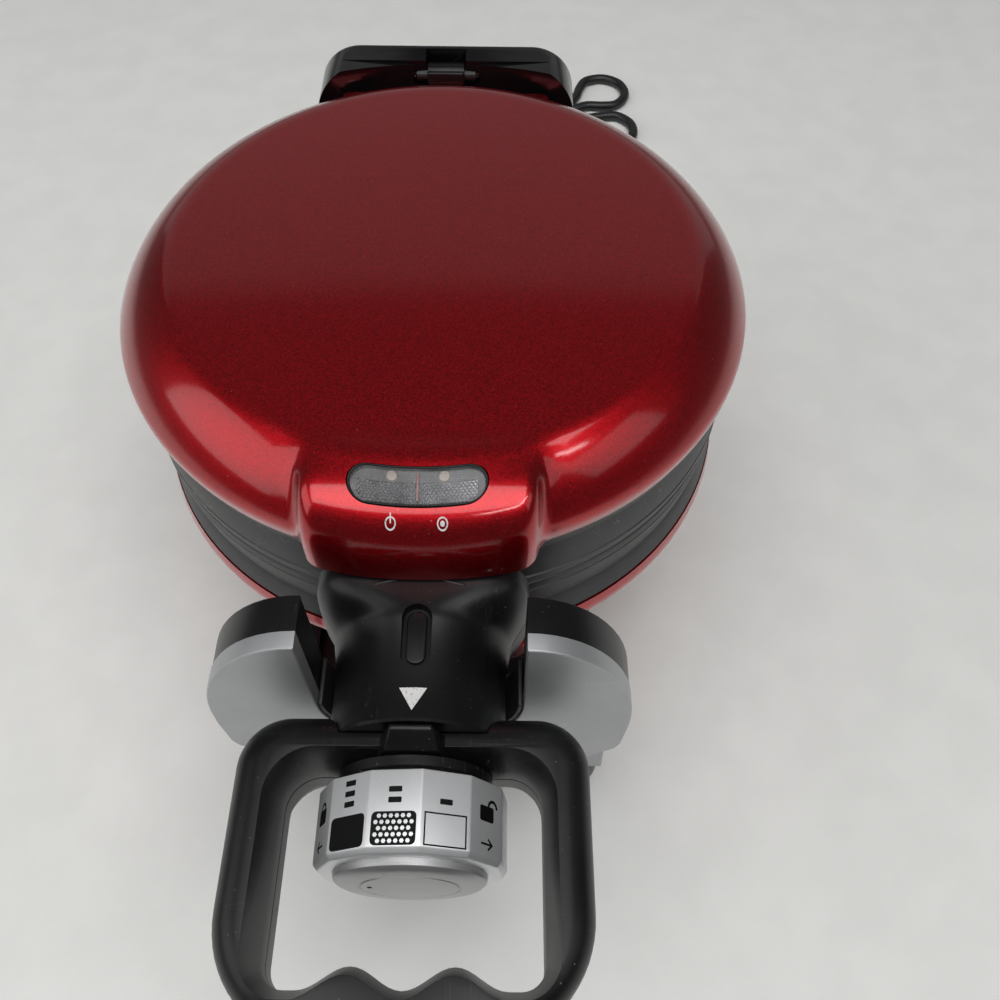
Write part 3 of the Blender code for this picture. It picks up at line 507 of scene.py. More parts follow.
class Graph:
    """The nodes of one material, around its Principled shader."""

    def __init__(self, name: str) -> None:
        """Starts a material with its shader and its Object coordinates.

        Args:
            name: the name to give.
        """
        self.material = bpy.data.materials.new(name)
        self.material.use_nodes = True
        self.nodes = self.material.node_tree.nodes
        self.links = self.material.node_tree.links
        self.shader = self.nodes["Principled BSDF"]
        self.place = self.add("ShaderNodeTexCoord").outputs["Object"]

    def add(
        self, kind: str, settings: dict[str, Any] | None = None,
        sockets: dict[str | int, Any] | None = None,
    ) -> bpy.types.Node:
        """Adds a node.

        Args:
            kind: the node's type.
            settings: its own settings, set first; "stops" are a ramp's stops.
            sockets: values or links for its inputs, by name or number.

        Returns:
            The node.
        """
        node = self.nodes.new(kind)
        for key, setting in (settings or {}).items():
            if key == "stops":
                ramp = node.color_ramp
                while len(ramp.elements) < len(setting):
                    ramp.elements.new(0.5)
                for element, (position, colour) in zip(ramp.elements, setting):
                    element.position = position
                    element.color = (*colour, 1.0)
            else:
                setattr(node, key, setting)
        for key, given in (sockets or {}).items():
            self.feed(node.inputs[key], given)
        return node

    def feed(self, socket: bpy.types.NodeSocket, given: Any) -> None:
        """Links or sets one input.

        Args:
            socket: the input.
            given: a value or a link.
        """
        if isinstance(given, Value):
            self.links.new(given.socket, socket)
        elif isinstance(given, bpy.types.NodeSocket):
            self.links.new(given, socket)
        elif socket.type == "RGBA" and len(given) == 3:
            socket.default_value = (*given, 1.0)
        else:
            socket.default_value = given

    def value(self, node: bpy.types.Node, output: str | int = 0) -> Value:
        """A node's output as a value."""
        return Value(self, node.outputs[output])

    def shifted(self, scale: Point3, turn: Point3 = (0.0, 0.0, 0.0)) -> bpy.types.NodeSocket:
        """Object coordinates, stretched and turned."""
        sockets = {"Vector": self.place, "Scale": scale, "Rotation": turn}
        return self.add("ShaderNodeMapping", {}, sockets).outputs[0]

    def noise(self, scale: float, detail: float = 2.0, on: Any = None, rough: float = 0.5) -> Value:
        """Cloudy noise between 0 and 1, about scale lumps to the metre."""
        sockets = {"Vector": on or self.place, "Scale": scale, "Detail": detail, "Roughness": rough}
        return self.value(self.add("ShaderNodeTexNoise", {}, sockets), "Fac")

    def cells(self, scale: float, on: Any = None) -> tuple[Value, bpy.types.NodeSocket]:
        """Distance to the nearest of scattered points, and a colour for each."""
        node = self.add("ShaderNodeTexVoronoi", {}, {"Vector": on or self.place, "Scale": scale})
        return self.value(node, "Distance"), node.outputs["Color"]

    def red_of(self, colour: bpy.types.NodeSocket) -> Value:
        """The red part of a colour."""
        return self.value(self.add("ShaderNodeSeparateColor", {}, {"Color": colour}), "Red")

    def mix(self, factor: Operand, first: Any, second: Any) -> bpy.types.NodeSocket:
        """A colour between two others.

        Args:
            factor: share of the second colour.
            first: the first colour.
            second: the second colour.

        Returns:
            The link.
        """
        node = self.add("ShaderNodeMix", {"data_type": "RGBA"}, {"Factor": factor})
        inputs = [s for s in node.inputs if s.type == "RGBA"]
        self.feed(inputs[0], first)
        self.feed(inputs[1], second)
        return next(s for s in node.outputs if s.type == "RGBA")

    def bump(
        self, height: Value, distance: float, under: Any = None, strength: float = 1.0
    ) -> bpy.types.NodeSocket:
        """A surface normal raised by a height between 0 and 1.

        Args:
            height: the height, between 0 and 1.
            distance: how tall a height of 1 is.
            under: a normal to start from.
            strength: how strongly it shows.

        Returns:
            The link.
        """
        sockets: dict[str | int, Any] = {"Height": height, "Distance": distance, "Strength": strength}
        if under is not None:
            sockets["Normal"] = under
        return self.add("ShaderNodeBump", {}, sockets).outputs["Normal"]

    def scratches(self, amount: float) -> Value:
        """Thin crossing lines, as fine wear leaves them.

        Args:
            amount: how strongly they show.

        Returns:
            The value.
        """
        total: Value | float = 0.0
        for scale, turn in (((9, 260, 60), (0.3, 0.2, 0.5)), ((300, 14, 50), (0.1, 0.5, 1.1))):
            line = abs(self.noise(1.0, 2.0, self.shifted(scale, turn)) - 0.5) < 0.0035
            patch = self.noise(26.0, 1.0, self.shifted((1, 1, 1), turn)).eased(0.52, 0.66)
            total = line * patch + total
        return total * amount


@dataclass(frozen=True)
class Finish:
    """A moulded or painted surface: colour, gloss, fine grain and light wear."""

    name: str
    colour: Colour
    roughness: float
    metallic: float = 0.0
    coat: float = 0.0
    coat_roughness: float = 0.05
    specular: float = 0.5
    grain: float = 1500.0  # lumps to the metre
    grain_depth: float = 0.00002
    mottle: float = 0.15  # how far the colour drifts
    drift: float = 0.08  # how far the roughness drifts
    dust: float = 0.0
    dust_colour: Colour = (0.42, 0.42, 0.41)
    wear: float = 0.0  # how strongly scratches show

    def build(self) -> bpy.types.Material:
        """Makes the material.

        Returns:
            The finished material.
        """
        graph = Graph(self.name)
        graph.feed(graph.shader.inputs["Metallic"], self.metallic)
        graph.feed(graph.shader.inputs["Coat Weight"], self.coat)
        graph.feed(graph.shader.inputs["Coat Roughness"], self.coat_roughness)
        graph.feed(graph.shader.inputs["Specular IOR Level"], self.specular)
        self.surface(graph)
        return graph.material

    def surface(self, graph: Graph) -> None:
        """Adds colour, roughness and bump to the shader.

        Args:
            graph: the material's nodes.
        """
        cloud = graph.noise(34.0, 4.0)
        fine = graph.noise(self.grain, 2.0)
        pale = tuple(min(1.0, c * (1 + self.mottle) + self.mottle * 0.01) for c in self.colour)
        deep = tuple(c * (1 - self.mottle) for c in self.colour)
        colour = graph.mix(cloud.eased(0.3, 0.7), deep, pale)
        roughness = (cloud - 0.5) * self.drift + (fine - 0.5) * 0.06 + self.roughness
        if self.wear:
            lines = graph.scratches(self.wear)
            colour = graph.mix(lines, colour, tuple(min(1.0, c + 0.22) for c in self.colour))
            roughness = roughness + lines * 0.2
        if self.dust:
            specks = self.specks(graph)
            colour = graph.mix(specks, colour, self.dust_colour)
            roughness = roughness + specks * 0.3
        graph.feed(graph.shader.inputs["Base Color"], colour)
        graph.feed(graph.shader.inputs["Roughness"], roughness)
        graph.feed(graph.shader.inputs["Normal"], graph.bump(fine, self.grain_depth))

    def specks(self, graph: Graph) -> Value:
        """Scattered grains of dust over a faint film.

        Args:
            graph: the material's nodes.

        Returns:
            The value.
        """
        near, tint = graph.cells(210.0)
        far, shade = graph.cells(520.0)
        chosen = graph.red_of(tint) > 0.72
        small = graph.red_of(shade) > 0.8
        film = graph.noise(90.0, 5.0, rough=0.7).eased(0.45, 0.8)
        return (
            near < 0.05
        ) * chosen * self.dust + (far < 0.09) * small * self.dust * 0.7 + film * self.dust * 0.02


@dataclass(frozen=True)
class CandyPaint(Finish):
    """Metallic flake under tinted clear lacquer."""

    flake: float = 2600.0

    def surface(self, graph: Graph) -> None:
        """Adds flakes that catch the light, under a smooth coat.

        Args:
            graph: the material's nodes.
        """
        near, tint = graph.cells(self.flake)
        glint = graph.red_of(tint)
        cloud = graph.noise(14.0, 2.0)
        deep = tuple(c * 0.82 for c in self.colour)
        bright = tuple(min(1.0, c * 1.5 + 0.002) for c in self.colour)
        colour = graph.mix(glint * 0.8 + cloud * 0.2, deep, bright)
        specks = self.specks(graph)
        colour = graph.mix(specks, colour, (0.55, 0.42, 0.40))
        graph.feed(graph.shader.inputs["Base Color"], colour)
        graph.feed(graph.shader.inputs["Roughness"], (glint - 0.5) * 0.1 + self.roughness + specks * 0.3)
        flakes = graph.bump(glint, 0.00003, strength=0.35)
        graph.feed(graph.shader.inputs["Normal"], flakes)


@dataclass(frozen=True)
class TurnedMetal(Finish):
    """Metal with the fine lines that drawing or turning leaves."""

    stretch: Point3 = (20.0, 1400.0, 1400.0)

    def surface(self, graph: Graph) -> None:
        """Adds fine lines to colour, roughness and bump.

        Args:
            graph: the material's nodes.
        """
        lines = graph.noise(1.0, 3.0, graph.shifted(self.stretch))
        stain = graph.noise(45.0, 4.0).eased(0.45, 0.75)
        deep = tuple(c * 0.78 for c in self.colour)
        colour = graph.mix(lines.eased(0.3, 0.7), deep, self.colour)
        colour = graph.mix(stain * 0.25, colour, tuple(c * 0.55 for c in self.colour))
        graph.feed(graph.shader.inputs["Base Color"], colour)
        graph.feed(graph.shader.inputs["Roughness"], (lines - 0.5) * 0.18 + stain * 0.08 + self.roughness)
        graph.feed(graph.shader.inputs["Normal"], graph.bump(lines, self.grain_depth))


@dataclass(frozen=True)
class ClearPlastic(Finish):
    """A clear moulding that shows what is behind it."""

    alpha: float = 0.3

    def surface(self, graph: Graph) -> None:
        """Adds a faint haze and smooth gloss.

        Args:
            graph: the material's nodes.
        """
        haze = graph.noise(160.0, 3.0)
        graph.feed(graph.shader.inputs["Base Color"], graph.mix(haze, self.colour, (1.0, 1.0, 1.0)))
        graph.feed(graph.shader.inputs["Alpha"], (haze - 0.5) * 0.1 + self.alpha)
        graph.feed(graph.shader.inputs["Roughness"], (haze - 0.5) * 0.05 + self.roughness)


@dataclass(frozen=True)
class PrintedInk(Finish):
    """A printed mark whose edges have begun to chip."""

    chips: float = 0.5

    def surface(self, graph: Graph) -> None:
        """Adds chips and a faint smear.

        Args:
            graph: the material's nodes.
        """
        chip = graph.noise(1500.0, 3.0).eased(0.60, 0.66) * self.chips
        smear = graph.noise(300.0, 2.0)
        deep = tuple(c * 0.85 for c in self.colour)
        graph.feed(graph.shader.inputs["Base Color"], graph.mix(smear, deep, self.colour))
        graph.feed(graph.shader.inputs["Alpha"], 1.0 - chip)
        graph.feed(graph.shader.inputs["Roughness"], smear * 0.1 + self.roughness)


@dataclass
class Palette:
    """All the finishes, each made once."""

    made: dict[str, bpy.types.Material] = field(default_factory=dict)

    candy_red: Finish = CandyPaint("candy_red", (0.36, 0.0006, 0.0050), 0.36, 0.92, 1.0, 0.11, dust=0.22)
    skirt_grey: Finish = Finish(
        "skirt_grey", (0.030, 0.031, 0.033), 0.46, dust=0.5, wear=0.5, mottle=0.3, drift=0.2
    )
    satin_black: Finish = Finish(
        "satin_black", (
            0.0042, 0.0044, 0.0050
        ), 0.35, specular=0.36, dust=0.3, wear=0.07, grain=2600.0, grain_depth=0.000012
    )
    gloss_black: Finish = Finish("gloss_black", (0.0045, 0.0045, 0.0055), 0.16, dust=0.12, wear=0.05)
    satin_silver: Finish = Finish(
        "satin_silver", (0.44, 0.45, 0.46), 0.46, 0.7, grain=2600.0, dust=0.25, wear=0.2, mottle=0.05
    )
    # The knob's silver is painted far lighter than the cap's and the yoke's silver of the same finish:
    # painted light that stands in for the light its facets catch.
    dial_silver_painted_lighter: Finish = Finish(
        "dial_silver_painted_lighter", (0.80, 0.81, 0.82), 0.42, 0.7, grain=2600.0, dust=0.2, wear=0.15, mottle=0.05
    )
    cap_silver: Finish = Finish(
        "cap_silver", (0.48, 0.48, 0.485), 0.44, 0.7, grain=2600.0, dust=0.2, wear=0.15, mottle=0.06
    )
    nonstick: Finish = Finish(
        "nonstick_coating", (0.020, 0.020, 0.022), 0.42, 0.2, grain=900.0, grain_depth=0.00004, mottle=0.3
    )
    bright_steel: Finish = TurnedMetal("bright_steel", (0.62, 0.62, 0.63), 0.28, 1.0)
    black_steel: Finish = TurnedMetal("black_steel", (0.05, 0.05, 0.052), 0.4, 0.9)
    clear_lens: Finish = ClearPlastic("clear_lens", (0.42, 0.42, 0.43), 0.07, alpha=0.05)
    floor: Finish = Finish(
        "pale_floor", (0.90, 0.90, 0.875), 0.7, grain=900.0, grain_depth=0.00002, mottle=0.02
    )
    tray_grey: Finish = Finish("light_tray", (0.085, 0.085, 0.088), 0.3, mottle=0.4)
    prism: Finish = Finish("lens_prism", (0.62, 0.62, 0.64), 0.24, 0.9, grain=600.0, mottle=0.5)
    lamp: Finish = Finish("lamp_amber", (0.36, 0.31, 0.27), 0.18, mottle=0.1)
    ceramic: Finish = Finish("ceramic_white", (0.78, 0.77, 0.73), 0.6)
    rubber: Finish = Finish("foot_rubber", (0.022, 0.022, 0.022), 0.8, grain=700.0, grain_depth=0.00005)
    nylon: Finish = Finish("nylon_black", (0.018, 0.018, 0.019), 0.5)
    cord: Finish = Finish("cord_black", (0.012, 0.012, 0.013), 0.42, grain=1200.0, dust=0.25)
    tie: Finish = Finish("tie_white", (0.80, 0.80, 0.78), 0.45, dust=0.15, dust_colour=(0.3, 0.3, 0.28))
    brass: Finish = TurnedMetal("plug_brass", (0.72, 0.58, 0.32), 0.25, 1.0)
    divider: Finish = Finish("pink_divider", (0.30, 0.12, 0.12), 0.25)
    white_ink: Finish = PrintedInk("white_ink", (0.80, 0.80, 0.79), 0.5, chips=0.5)
    black_ink: Finish = PrintedInk("black_ink", (0.003, 0.003, 0.0035), 0.55, specular=0.2, chips=0.0)

    def of(self, finish: Finish) -> bpy.types.Material:
        """The material of a finish, made on its first use.

        Args:
            finish: the finish.

        Returns:
            The material.
        """
        if finish.name not in self.made:
            self.made[finish.name] = finish.build()
        return self.made[finish.name]


@dataclass
class Workshop:
    """What every sub-assembly needs: the frame, the finishes and the head's place."""

    frame: dict[str, Any]
    palette: Palette
    head: Vector

    def show(
        self, mould: Mould, name: str, finish: Finish, body: str, stands_for: Iterable[str] = (),
        sharp: float = 32.0,
    ) -> bpy.types.Object:
        """Finishes a piece and adds it to a body.

        Args:
            mould: its mesh, about the head's centre.
            name: the piece's name.
            finish: its finish.
            body: the body that it rides on.
            stands_for: the CAD nodes that it replaces.
            sharp: angle in degrees above which an edge is drawn sharp.

        Returns:
            The finished object.
        """
        bmesh.ops.remove_doubles(mould.bm, verts=mould.bm.verts, dist=1e-6)
        mould.move(*self.head)
        made = mould.loose(name)
        made.data.materials.append(self.palette.of(finish))
        made.data.shade_smooth()
        made.data.set_sharp_from_angle(angle=math.radians(sharp))
        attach(made, body)
        if stands_for:
            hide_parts(*stands_for)
        log.info("%s rides on %s: %d faces", name, body, len(made.data.polygons))
        return made

    def dress(self, finish: Finish, *nodes: str) -> None:
        """Gives CAD nodes that stay in view a better material.

        Args:
            finish: the finish.
            nodes: the CAD nodes' names.
        """
        for node in nodes:
            held = self.frame["nodes"][node]
            held.data.materials.clear()
            held.data.materials.append(self.palette.of(finish))
            log.info("%s keeps its mesh, finish %s", node, finish.name)


# --- shared sizes ---------------------------------------------------------------
@dataclass(frozen=True)
class Layout:
    """Sizes that several sub-assemblies share, about the head's centre."""

    flip_z: float = 0.145  # flip axis above the floor
    rim_z: float = 0.0300  # lower edge of the red shells
    disc_r: float = 0.0974
    disc_z: float = 0.0566
    handle_h: float = 0.0200
    collar_r: float = 0.0296
    collar_front_y: float = -0.1725
    loop_rear_y: float = -0.1805
    hinge_y: float = 0.121
    hinge_z: float = 0.0475


LAYOUT = Layout()


def circle_through(start: Point2, stop: Point2, bulge: float) -> tuple[Vector, float]:
    """The circle through two points whose arc stands out between them.

    Args:
        start: first point.
        stop: second point.
        bulge: how far the arc stands out, to the left of the way to the second.

    Returns:
        The circle's centre and radius.
    """
    first, last = Vector(start), Vector(stop)
    chord = last - first
    side = Vector((-chord.y, chord.x)).normalized()
    radius = (chord.length**2 / 4 + bulge**2) / (2 * bulge)
    return (first + last) / 2 + side * (bulge - radius), radius


def grown(outline: Sequence[Point2], by: float) -> list[Point2]:
    """The outline moved outwards all round; its points run anticlockwise.

    Args:
        outline: points of the outline.
        by: how far outwards.

    Returns:
        The outline's points.
    """
    moved = []
    count = len(outline)
    for i, point in enumerate(outline):
        here = Vector(point)
        along = Vector(outline[(i + 1) % count]) - Vector(outline[i - 1])
        out = Vector((along.y, -along.x)).normalized()
        moved.append(tuple(here + out * by))
    return moved


def flared(outline: Sequence[Point2], low: float, high: float, wide: Sequence[Point2]) -> Mould:
    """An upright solid that passes from one outline to another with as many points.

    Args:
        outline: points of the outline.
        low: the lower end.
        high: the upper end.
        wide: points of the other outline.

    Returns:
        The mesh.
    """
    mould = Mould.extruded(outline, Axis.Z, low, high)
    tops = [v for v in mould.bm.verts if abs(v.co.z - high) < 1e-7]
    for vert in tops:
        near = min(range(len(outline)), key=lambda i: (Vector(outline[i]) - vert.co.xy).length_squared)
        vert.co.x, vert.co.y = wide[near]
    return mould


# --- the red shells ----------------------------------------------------------------
@dataclass
class WindowSeat:
    """Where the indicator window sits in the nose's brow."""

    y: float = -0.1076
    z: float = 0.0561
    tilt: float = math.radians(16.0)
    length: float = 0.0444
    width: float = 0.0136
    bow: float = 0.0024  # how far its ends curl back

    def outline(self, shrink: float = 0.0) -> list[Point2]:
        """The window's outline, smaller all round by shrink, with points along its sides.

        Args:
            shrink: how far inwards.

        Returns:
            The outline's points.
        """
        half, r = self.length / 2 - shrink, self.width / 2 - shrink
        x = half - r
        side = [-x + 2 * x * i / 16 for i in range(1, 16)]
        right, left = arc(x, 0, r, -90, 90, 14), arc(-x, 0, r, 90, 270, 14)
        return right + [(-s, r) for s in side] + left + [(s, -r) for s in side]

    def seat(self, mould: Mould) -> Mould:
        """Bends a piece drawn flat at the origin and moves it into the brow.

        Args:
            mould: the mesh.

        Returns:
            The mesh.
        """
        half = self.length / 2
        mould.reshape(
            lambda p: Vector((p.x, p.y + self.bow * (p.x / half) ** 2, p.z - 0.0006 * (p.x / half) ** 2))
        )
        place = Matrix.Translation((0, self.y, self.z)) @ Matrix.Rotation(self.tilt, 4, "X")
        return mould.place(place)


@dataclass
class RedShell:
    """A shallow pressed dome with a nose over the collar and a ledge at the hinge."""

    rim_r: float = 0.1196
    tuck_r: float = 0.1182
    shoulder_z: float = 0.0362
    shoulder_bulge: float = 0.0031
    crown: float = 0.0012
    wall: float = 0.0022
    crease: float = 0.0009  # rounding where the disc meets the shoulder
    nose_half: float = 0.0385
    nose_front_y: float = -0.1293
    nose_corner_y: float = -0.1205
    fillet: float = 0.0042  # where the nose grows out of the shoulder
    ledge_half: float = 0.0455
    ledge_y: float = 0.110
    ledge_z: float = 0.0465
    eye: Vector = field(default_factory=lambda: Vector((0.0, -0.085, 0.030)))

    def __post_init__(self) -> None:
        """Works out the circles that the outlines follow."""
        widest = (self.rim_r, self.shoulder_z)
        edge = (LAYOUT.disc_r, LAYOUT.disc_z)
        self.shoulder, self.shoulder_r = circle_through(widest, edge, -self.shoulder_bulge)
        self.shoulder_r = abs(self.shoulder_r)
        bow = self.nose_corner_y - self.nose_front_y
        self.bow_r = (self.nose_half**2 + bow**2) / (2 * bow)
        self.bow_y = self.nose_front_y + self.bow_r
        self.brow, self.brow_r = circle_through(
            (-0.094, LAYOUT.disc_z - 0.0009), (self.nose_front_y, 0.034), -0.0085
        )
        self.brow_r = abs(self.brow_r)

    def dome(self, radius: float, z: float) -> float:
        """Distance to the dome, below zero inside.

        Args:
            radius: distance from the axis.
            z: the height.

        Returns:
            The distance in metres.
        """
        flat = z - LAYOUT.disc_z - self.crown * (1 - (radius / LAYOUT.disc_r) ** 2)
        across = max(radius - self.shoulder.x, 0.0)
        round_part = math.hypot(across, z - self.shoulder.y) - self.shoulder_r
        lean = (z - LAYOUT.rim_z) / (self.shoulder_z - LAYOUT.rim_z) * (self.rim_r - self.tuck_r)
        side = radius - self.tuck_r - lean
        return smooth_max(smooth_max(flat, round_part, self.crease), side, 0.0020)

    def nose(self, x: float, y: float, z: float) -> float:
        """Distance to the nose, below zero inside.

        Args:
            x: the place across.
            y: the place from front to back.
            z: the height.

        Returns:
            The distance in metres.
        """
        sides = abs(x) - self.nose_half
        front = math.hypot(x, y - self.bow_y) - self.bow_r
        brow = math.hypot(y - self.brow.x, z - self.brow.y) - self.brow_r
        return smooth_max(sides, smooth_max(front, brow, 0.0140), 0.0070)

    def ledge(self, x: float, y: float, z: float) -> float:
        """Distance to the rear ledge, below zero inside."""
        walls = smooth_max(abs(x) - self.ledge_half, y - self.ledge_y, 0.0030)
        return smooth_max(walls, z - self.ledge_z, 0.0014)

    def whole(self, p: Vector) -> float:
        """Distance to the dome with its nose and ledge.

        Args:
            p: a place.

        Returns:
            The distance in metres.
        """
        body = self.dome(math.hypot(p.x, p.y), p.z)
        if p.y > 0.08:
            return smooth_min(body, self.ledge(p.x, p.y, p.z), 0.0016)
        if p.y < -0.06:
            return smooth_min(body, self.nose(p.x, p.y, p.z), self.fillet)
        return body

    def settle(self, p: Vector) -> Vector:
        """Moves a point of the plain dome out or in to the finished surface.

        Args:
            p: a place.

        Returns:
            The new place.
        """
        if abs(p.x) > 0.062:
            return p
        ray = p - self.eye
        near, far = 0.75, 1.6
        for _ in range(19):
            middle = (near + far) / 2
            if self.whole(self.eye + ray * middle) < 0:
                near = middle
            else:
                far = middle
        return self.eye + ray * ((near + far) / 2)

    def top_at(self, x: float, y: float) -> float:
        """Height of the finished surface at a place.

        Args:
            x: the place across.
            y: the place from front to back.

        Returns:
            The height in metres.
        """
        low, high = 0.032, 0.060
        for _ in range(18):
            middle = (low + high) / 2
            if self.whole(Vector((x, y, middle))) < 0:
                low = middle
            else:
                high = middle
        return low

    def rows(self) -> list[Point2]:
        """Radius and height of the dome's rows, from the rim to the middle.

        Returns:
            The outline's points.
        """
        low = LAYOUT.rim_z
        rim = [
            (
                self.tuck_r + (self.rim_r - self.tuck_r) * i / 6, low + (self.shoulder_z - low) * i / 6
            ) for i in range(6)
        ]
        turn_low = math.atan2(self.shoulder_z - self.shoulder.y, self.rim_r - self.shoulder.x)
        turn_high = math.atan2(LAYOUT.disc_z - self.shoulder.y, LAYOUT.disc_r - self.shoulder.x)
        steps = 34
        round_part = []
        for i in range(steps + 1):
            a = turn_low + (turn_high - turn_low) * i / steps
            reach = self.shoulder_r
            round_part.append((self.shoulder.x + reach * math.cos(a), self.shoulder.y + reach * math.sin(a)))
        inner = [0.0968, 0.0960, 0.0950] + [0.094 - 0.0012 * i for i in range(14)] + [
            0.074, 0.066, 0.052, 0.034, 0.016
        ]
        disc = [(r, LAYOUT.disc_z + self.crown * (1 - (r / LAYOUT.disc_r) ** 2)) for r in inner]
        eased = []
        for r, z in rim + round_part + disc:
            for _ in range(6):
                gap = self.dome(r, z)
                if r > 0.1:
                    outward = Vector((r - self.shoulder.x, z - self.shoulder.y)).normalized()
                else:
                    outward = Vector((0.0, 1.0))
                if abs(z - low) > 1e-9:
                    r, z = r - outward.x * gap, z - outward.y * gap
            eased.append((r, z))
        return eased + [(0.0, LAYOUT.disc_z + self.crown)]

    def skin(self) -> Mould:
        """The outer surface, with finer columns at the nose and at the ledge.

        Returns:
            The mesh.
        """
        mould = Mould()
        bm = mould.bm
        start = Matrix.Rotation(math.radians(-112), 4, "Z")
        verts = [bm.verts.new(start @ Vector((r, 0, z))) for r, z in self.rows()]
        edge: list[Any] = verts + [bm.edges.new(pair) for pair in zip(verts, verts[1:])]
        for angle, steps in ((44, 132), (133, 53), (50, 100), (133, 53)):
            edge = bmesh.ops.spin(
                bm, geom=edge, cent=(
                    0, 0, 0
                ), axis=(0, 0, 1), angle=math.radians(angle), steps=steps, use_merge=False
            )["geom_last"]
        bmesh.ops.remove_doubles(bm, verts=bm.verts, dist=1e-5)
        mould.reshape(self.settle)
        bmesh.ops.recalc_face_normals(bm, faces=bm.faces)
        top = max(bm.faces, key=lambda f: f.calc_center_median().z)
        if top.normal.z < 0:
            bmesh.ops.reverse_faces(bm, faces=bm.faces)
        return mould

    def walled(self) -> Mould:
        """The skin with its thickness turned inwards.

        Returns:
            The mesh.
        """
        mould = self.skin()
        bmesh.ops.solidify(mould.bm, geom=mould.bm.faces, thickness=self.wall)
        bmesh.ops.recalc_face_normals(mould.bm, faces=mould.bm.faces)
        return mould

    def build(self, shop: Workshop) -> None:
        """Makes both shells; the upper one has the window.

        Args:
            shop: the frame and finishes.
        """
        for lower in (False, True):
            shell = self.walled()
            if not lower:
                seat = WindowSeat()
                shell.carve(seat.seat(Mould.extruded(seat.outline(), Axis.Z, -0.012, 0.008)))
            pad = Mould.block((-0.0082, 0.106, 0.0412), (0.0082, 0.1154, 0.0460)).soften(0.0006, 2)
            shell.with_more(pad)
            word, body = ("lower", "lower_half") if lower else ("upper", "lid")
            finish = shop.palette.candy_red
            shop.show(shell.over(lower), f"{word}_red_shell", finish, body, [f"{word}_shell"], sharp=40)


@dataclass
class Skirt:
    """The dark band under a shell's rim, with a waist and a parting lip."""

    low: float = GAP
    high: float = 0.02955
    r: float = 0.1166
    waist_r: float = 0.1149
    flare_r: float = 0.1177
    wall: float = 0.0036

    def build(self, shop: Workshop) -> None:
        """Makes both skirts.

        Args:
            shop: the workshop.
        """
        profile = [
            (self.r - 0.0008, self.low), (self.r - 0.0002, self.low + 0.0004), (self.r, self.low + 0.0012),
            (self.r, 0.0046), (self.r - 0.0007, 0.0050), (self.r - 0.0007, 0.0056),
            (self.r - 0.0001, 0.0060), (self.r - 0.0004, 0.0100), (self.r - 0.0010, 0.0145),
            (self.waist_r, 0.0190), (self.waist_r - 0.0002, 0.0200), (self.waist_r + 0.0004, 0.0210),
            (self.flare_r - 0.0013, 0.0245), (self.flare_r - 0.0004, 0.0275),
            (self.flare_r, self.high - 0.0006), (self.flare_r - 0.0006, self.high),
            (self.r - self.wall, self.high), (self.r - self.wall, self.low),
        ]
        for word, body, lower in (("upper", "lid", False), ("lower", "lower_half", True)):
            ring = Mould.turned(profile, Axis.Z, 240)
            shop.show(
                ring.over(lower), f"{word}_band", shop.palette.skirt_grey, body, [f"{word}_skirt"], sharp=28
            )


@dataclass
class WafflePlate:
    """A cast pan with pegs that press the pockets, and cross ribs between quarters."""

    rim_r: float = 0.1118
    pan_r: float = 0.0915
    depth: float = 0.0125
    face: float = 0.0006
    pitch: float = 0.0158
    peg: float = 0.0046  # half width at its foot
    peg_top: float = 0.0034

    def peg_at(self, x: float, y: float) -> Mould:
        """One tapered peg on the pan's floor.

        Args:
            x: the place across.
            y: the place from front to back.

        Returns:
            The mesh.
        """
        floor = self.face + self.depth
        peg = Mould.extruded(
            [(-self.peg, -self.peg), (self.peg, -self.peg), (self.peg, self.peg), (-self.peg, self.peg)],
            Axis.Z, 0.0032, floor + 0.0004,
        )
        scale = self.peg_top / self.peg
        for vert in peg.bm.verts:
            if vert.co.z < 0.004:
                vert.co.x *= scale
                vert.co.y *= scale
        return peg.soften(0.0007, 2).move(x, y)

    def build(self, shop: Workshop) -> None:
        """Makes both plates.

        Args:
            shop: the workshop.
        """
        back, face = self.face + self.depth, self.face
        profile = [
            (0.0, back + 0.0035), (self.pan_r + 0.0030, back + 0.0035),
            (self.pan_r + 0.0050, face + 0.0030), (self.rim_r, face + 0.0030), (self.rim_r, face + 0.0006),
            (self.rim_r - 0.0006, face), (self.pan_r + 0.0078, face), (self.pan_r + 0.0072, face + 0.0009),
            (self.pan_r + 0.0058, face + 0.0009), (self.pan_r + 0.0052, face), (self.pan_r + 0.0008, face),
            (self.pan_r, face + 0.0008), (self.pan_r - 0.0012, back - 0.0015), (self.pan_r - 0.0028, back),
            (0.0, back),
        ]
        half = self.pitch / 2
        for word, body, lower in (("upper", "lid", False), ("lower", "lower_half", True)):
            plate = Mould.turned(profile, Axis.Z, 160)
            pegs = []
            for i in range(-6, 6):
                for j in range(-6, 6):
                    x, y = half + i * self.pitch, half + j * self.pitch
                    x, y = x + math.copysign(0.0012, x), y + math.copysign(0.0012, y)
                    if math.hypot(x, y) < self.pan_r - 0.0105:
                        pegs.append(self.peg_at(x, y))
            for turn in (0, 90):
                rib = Mould.block(
                    (-self.pan_r + 0.003, -0.0011, 0.0045), (self.pan_r - 0.003, 0.0011, back + 0.0004)
                )
                pegs.append(rib.soften(0.0006, 2).place(Matrix.Rotation(math.radians(turn), 4, "Z")))
            plate.with_more(*pegs)
            shop.show(
                plate.over(lower), f"{word}_pan", shop.palette.nonstick, body, [f"{word}_waffle_plate"],
            )


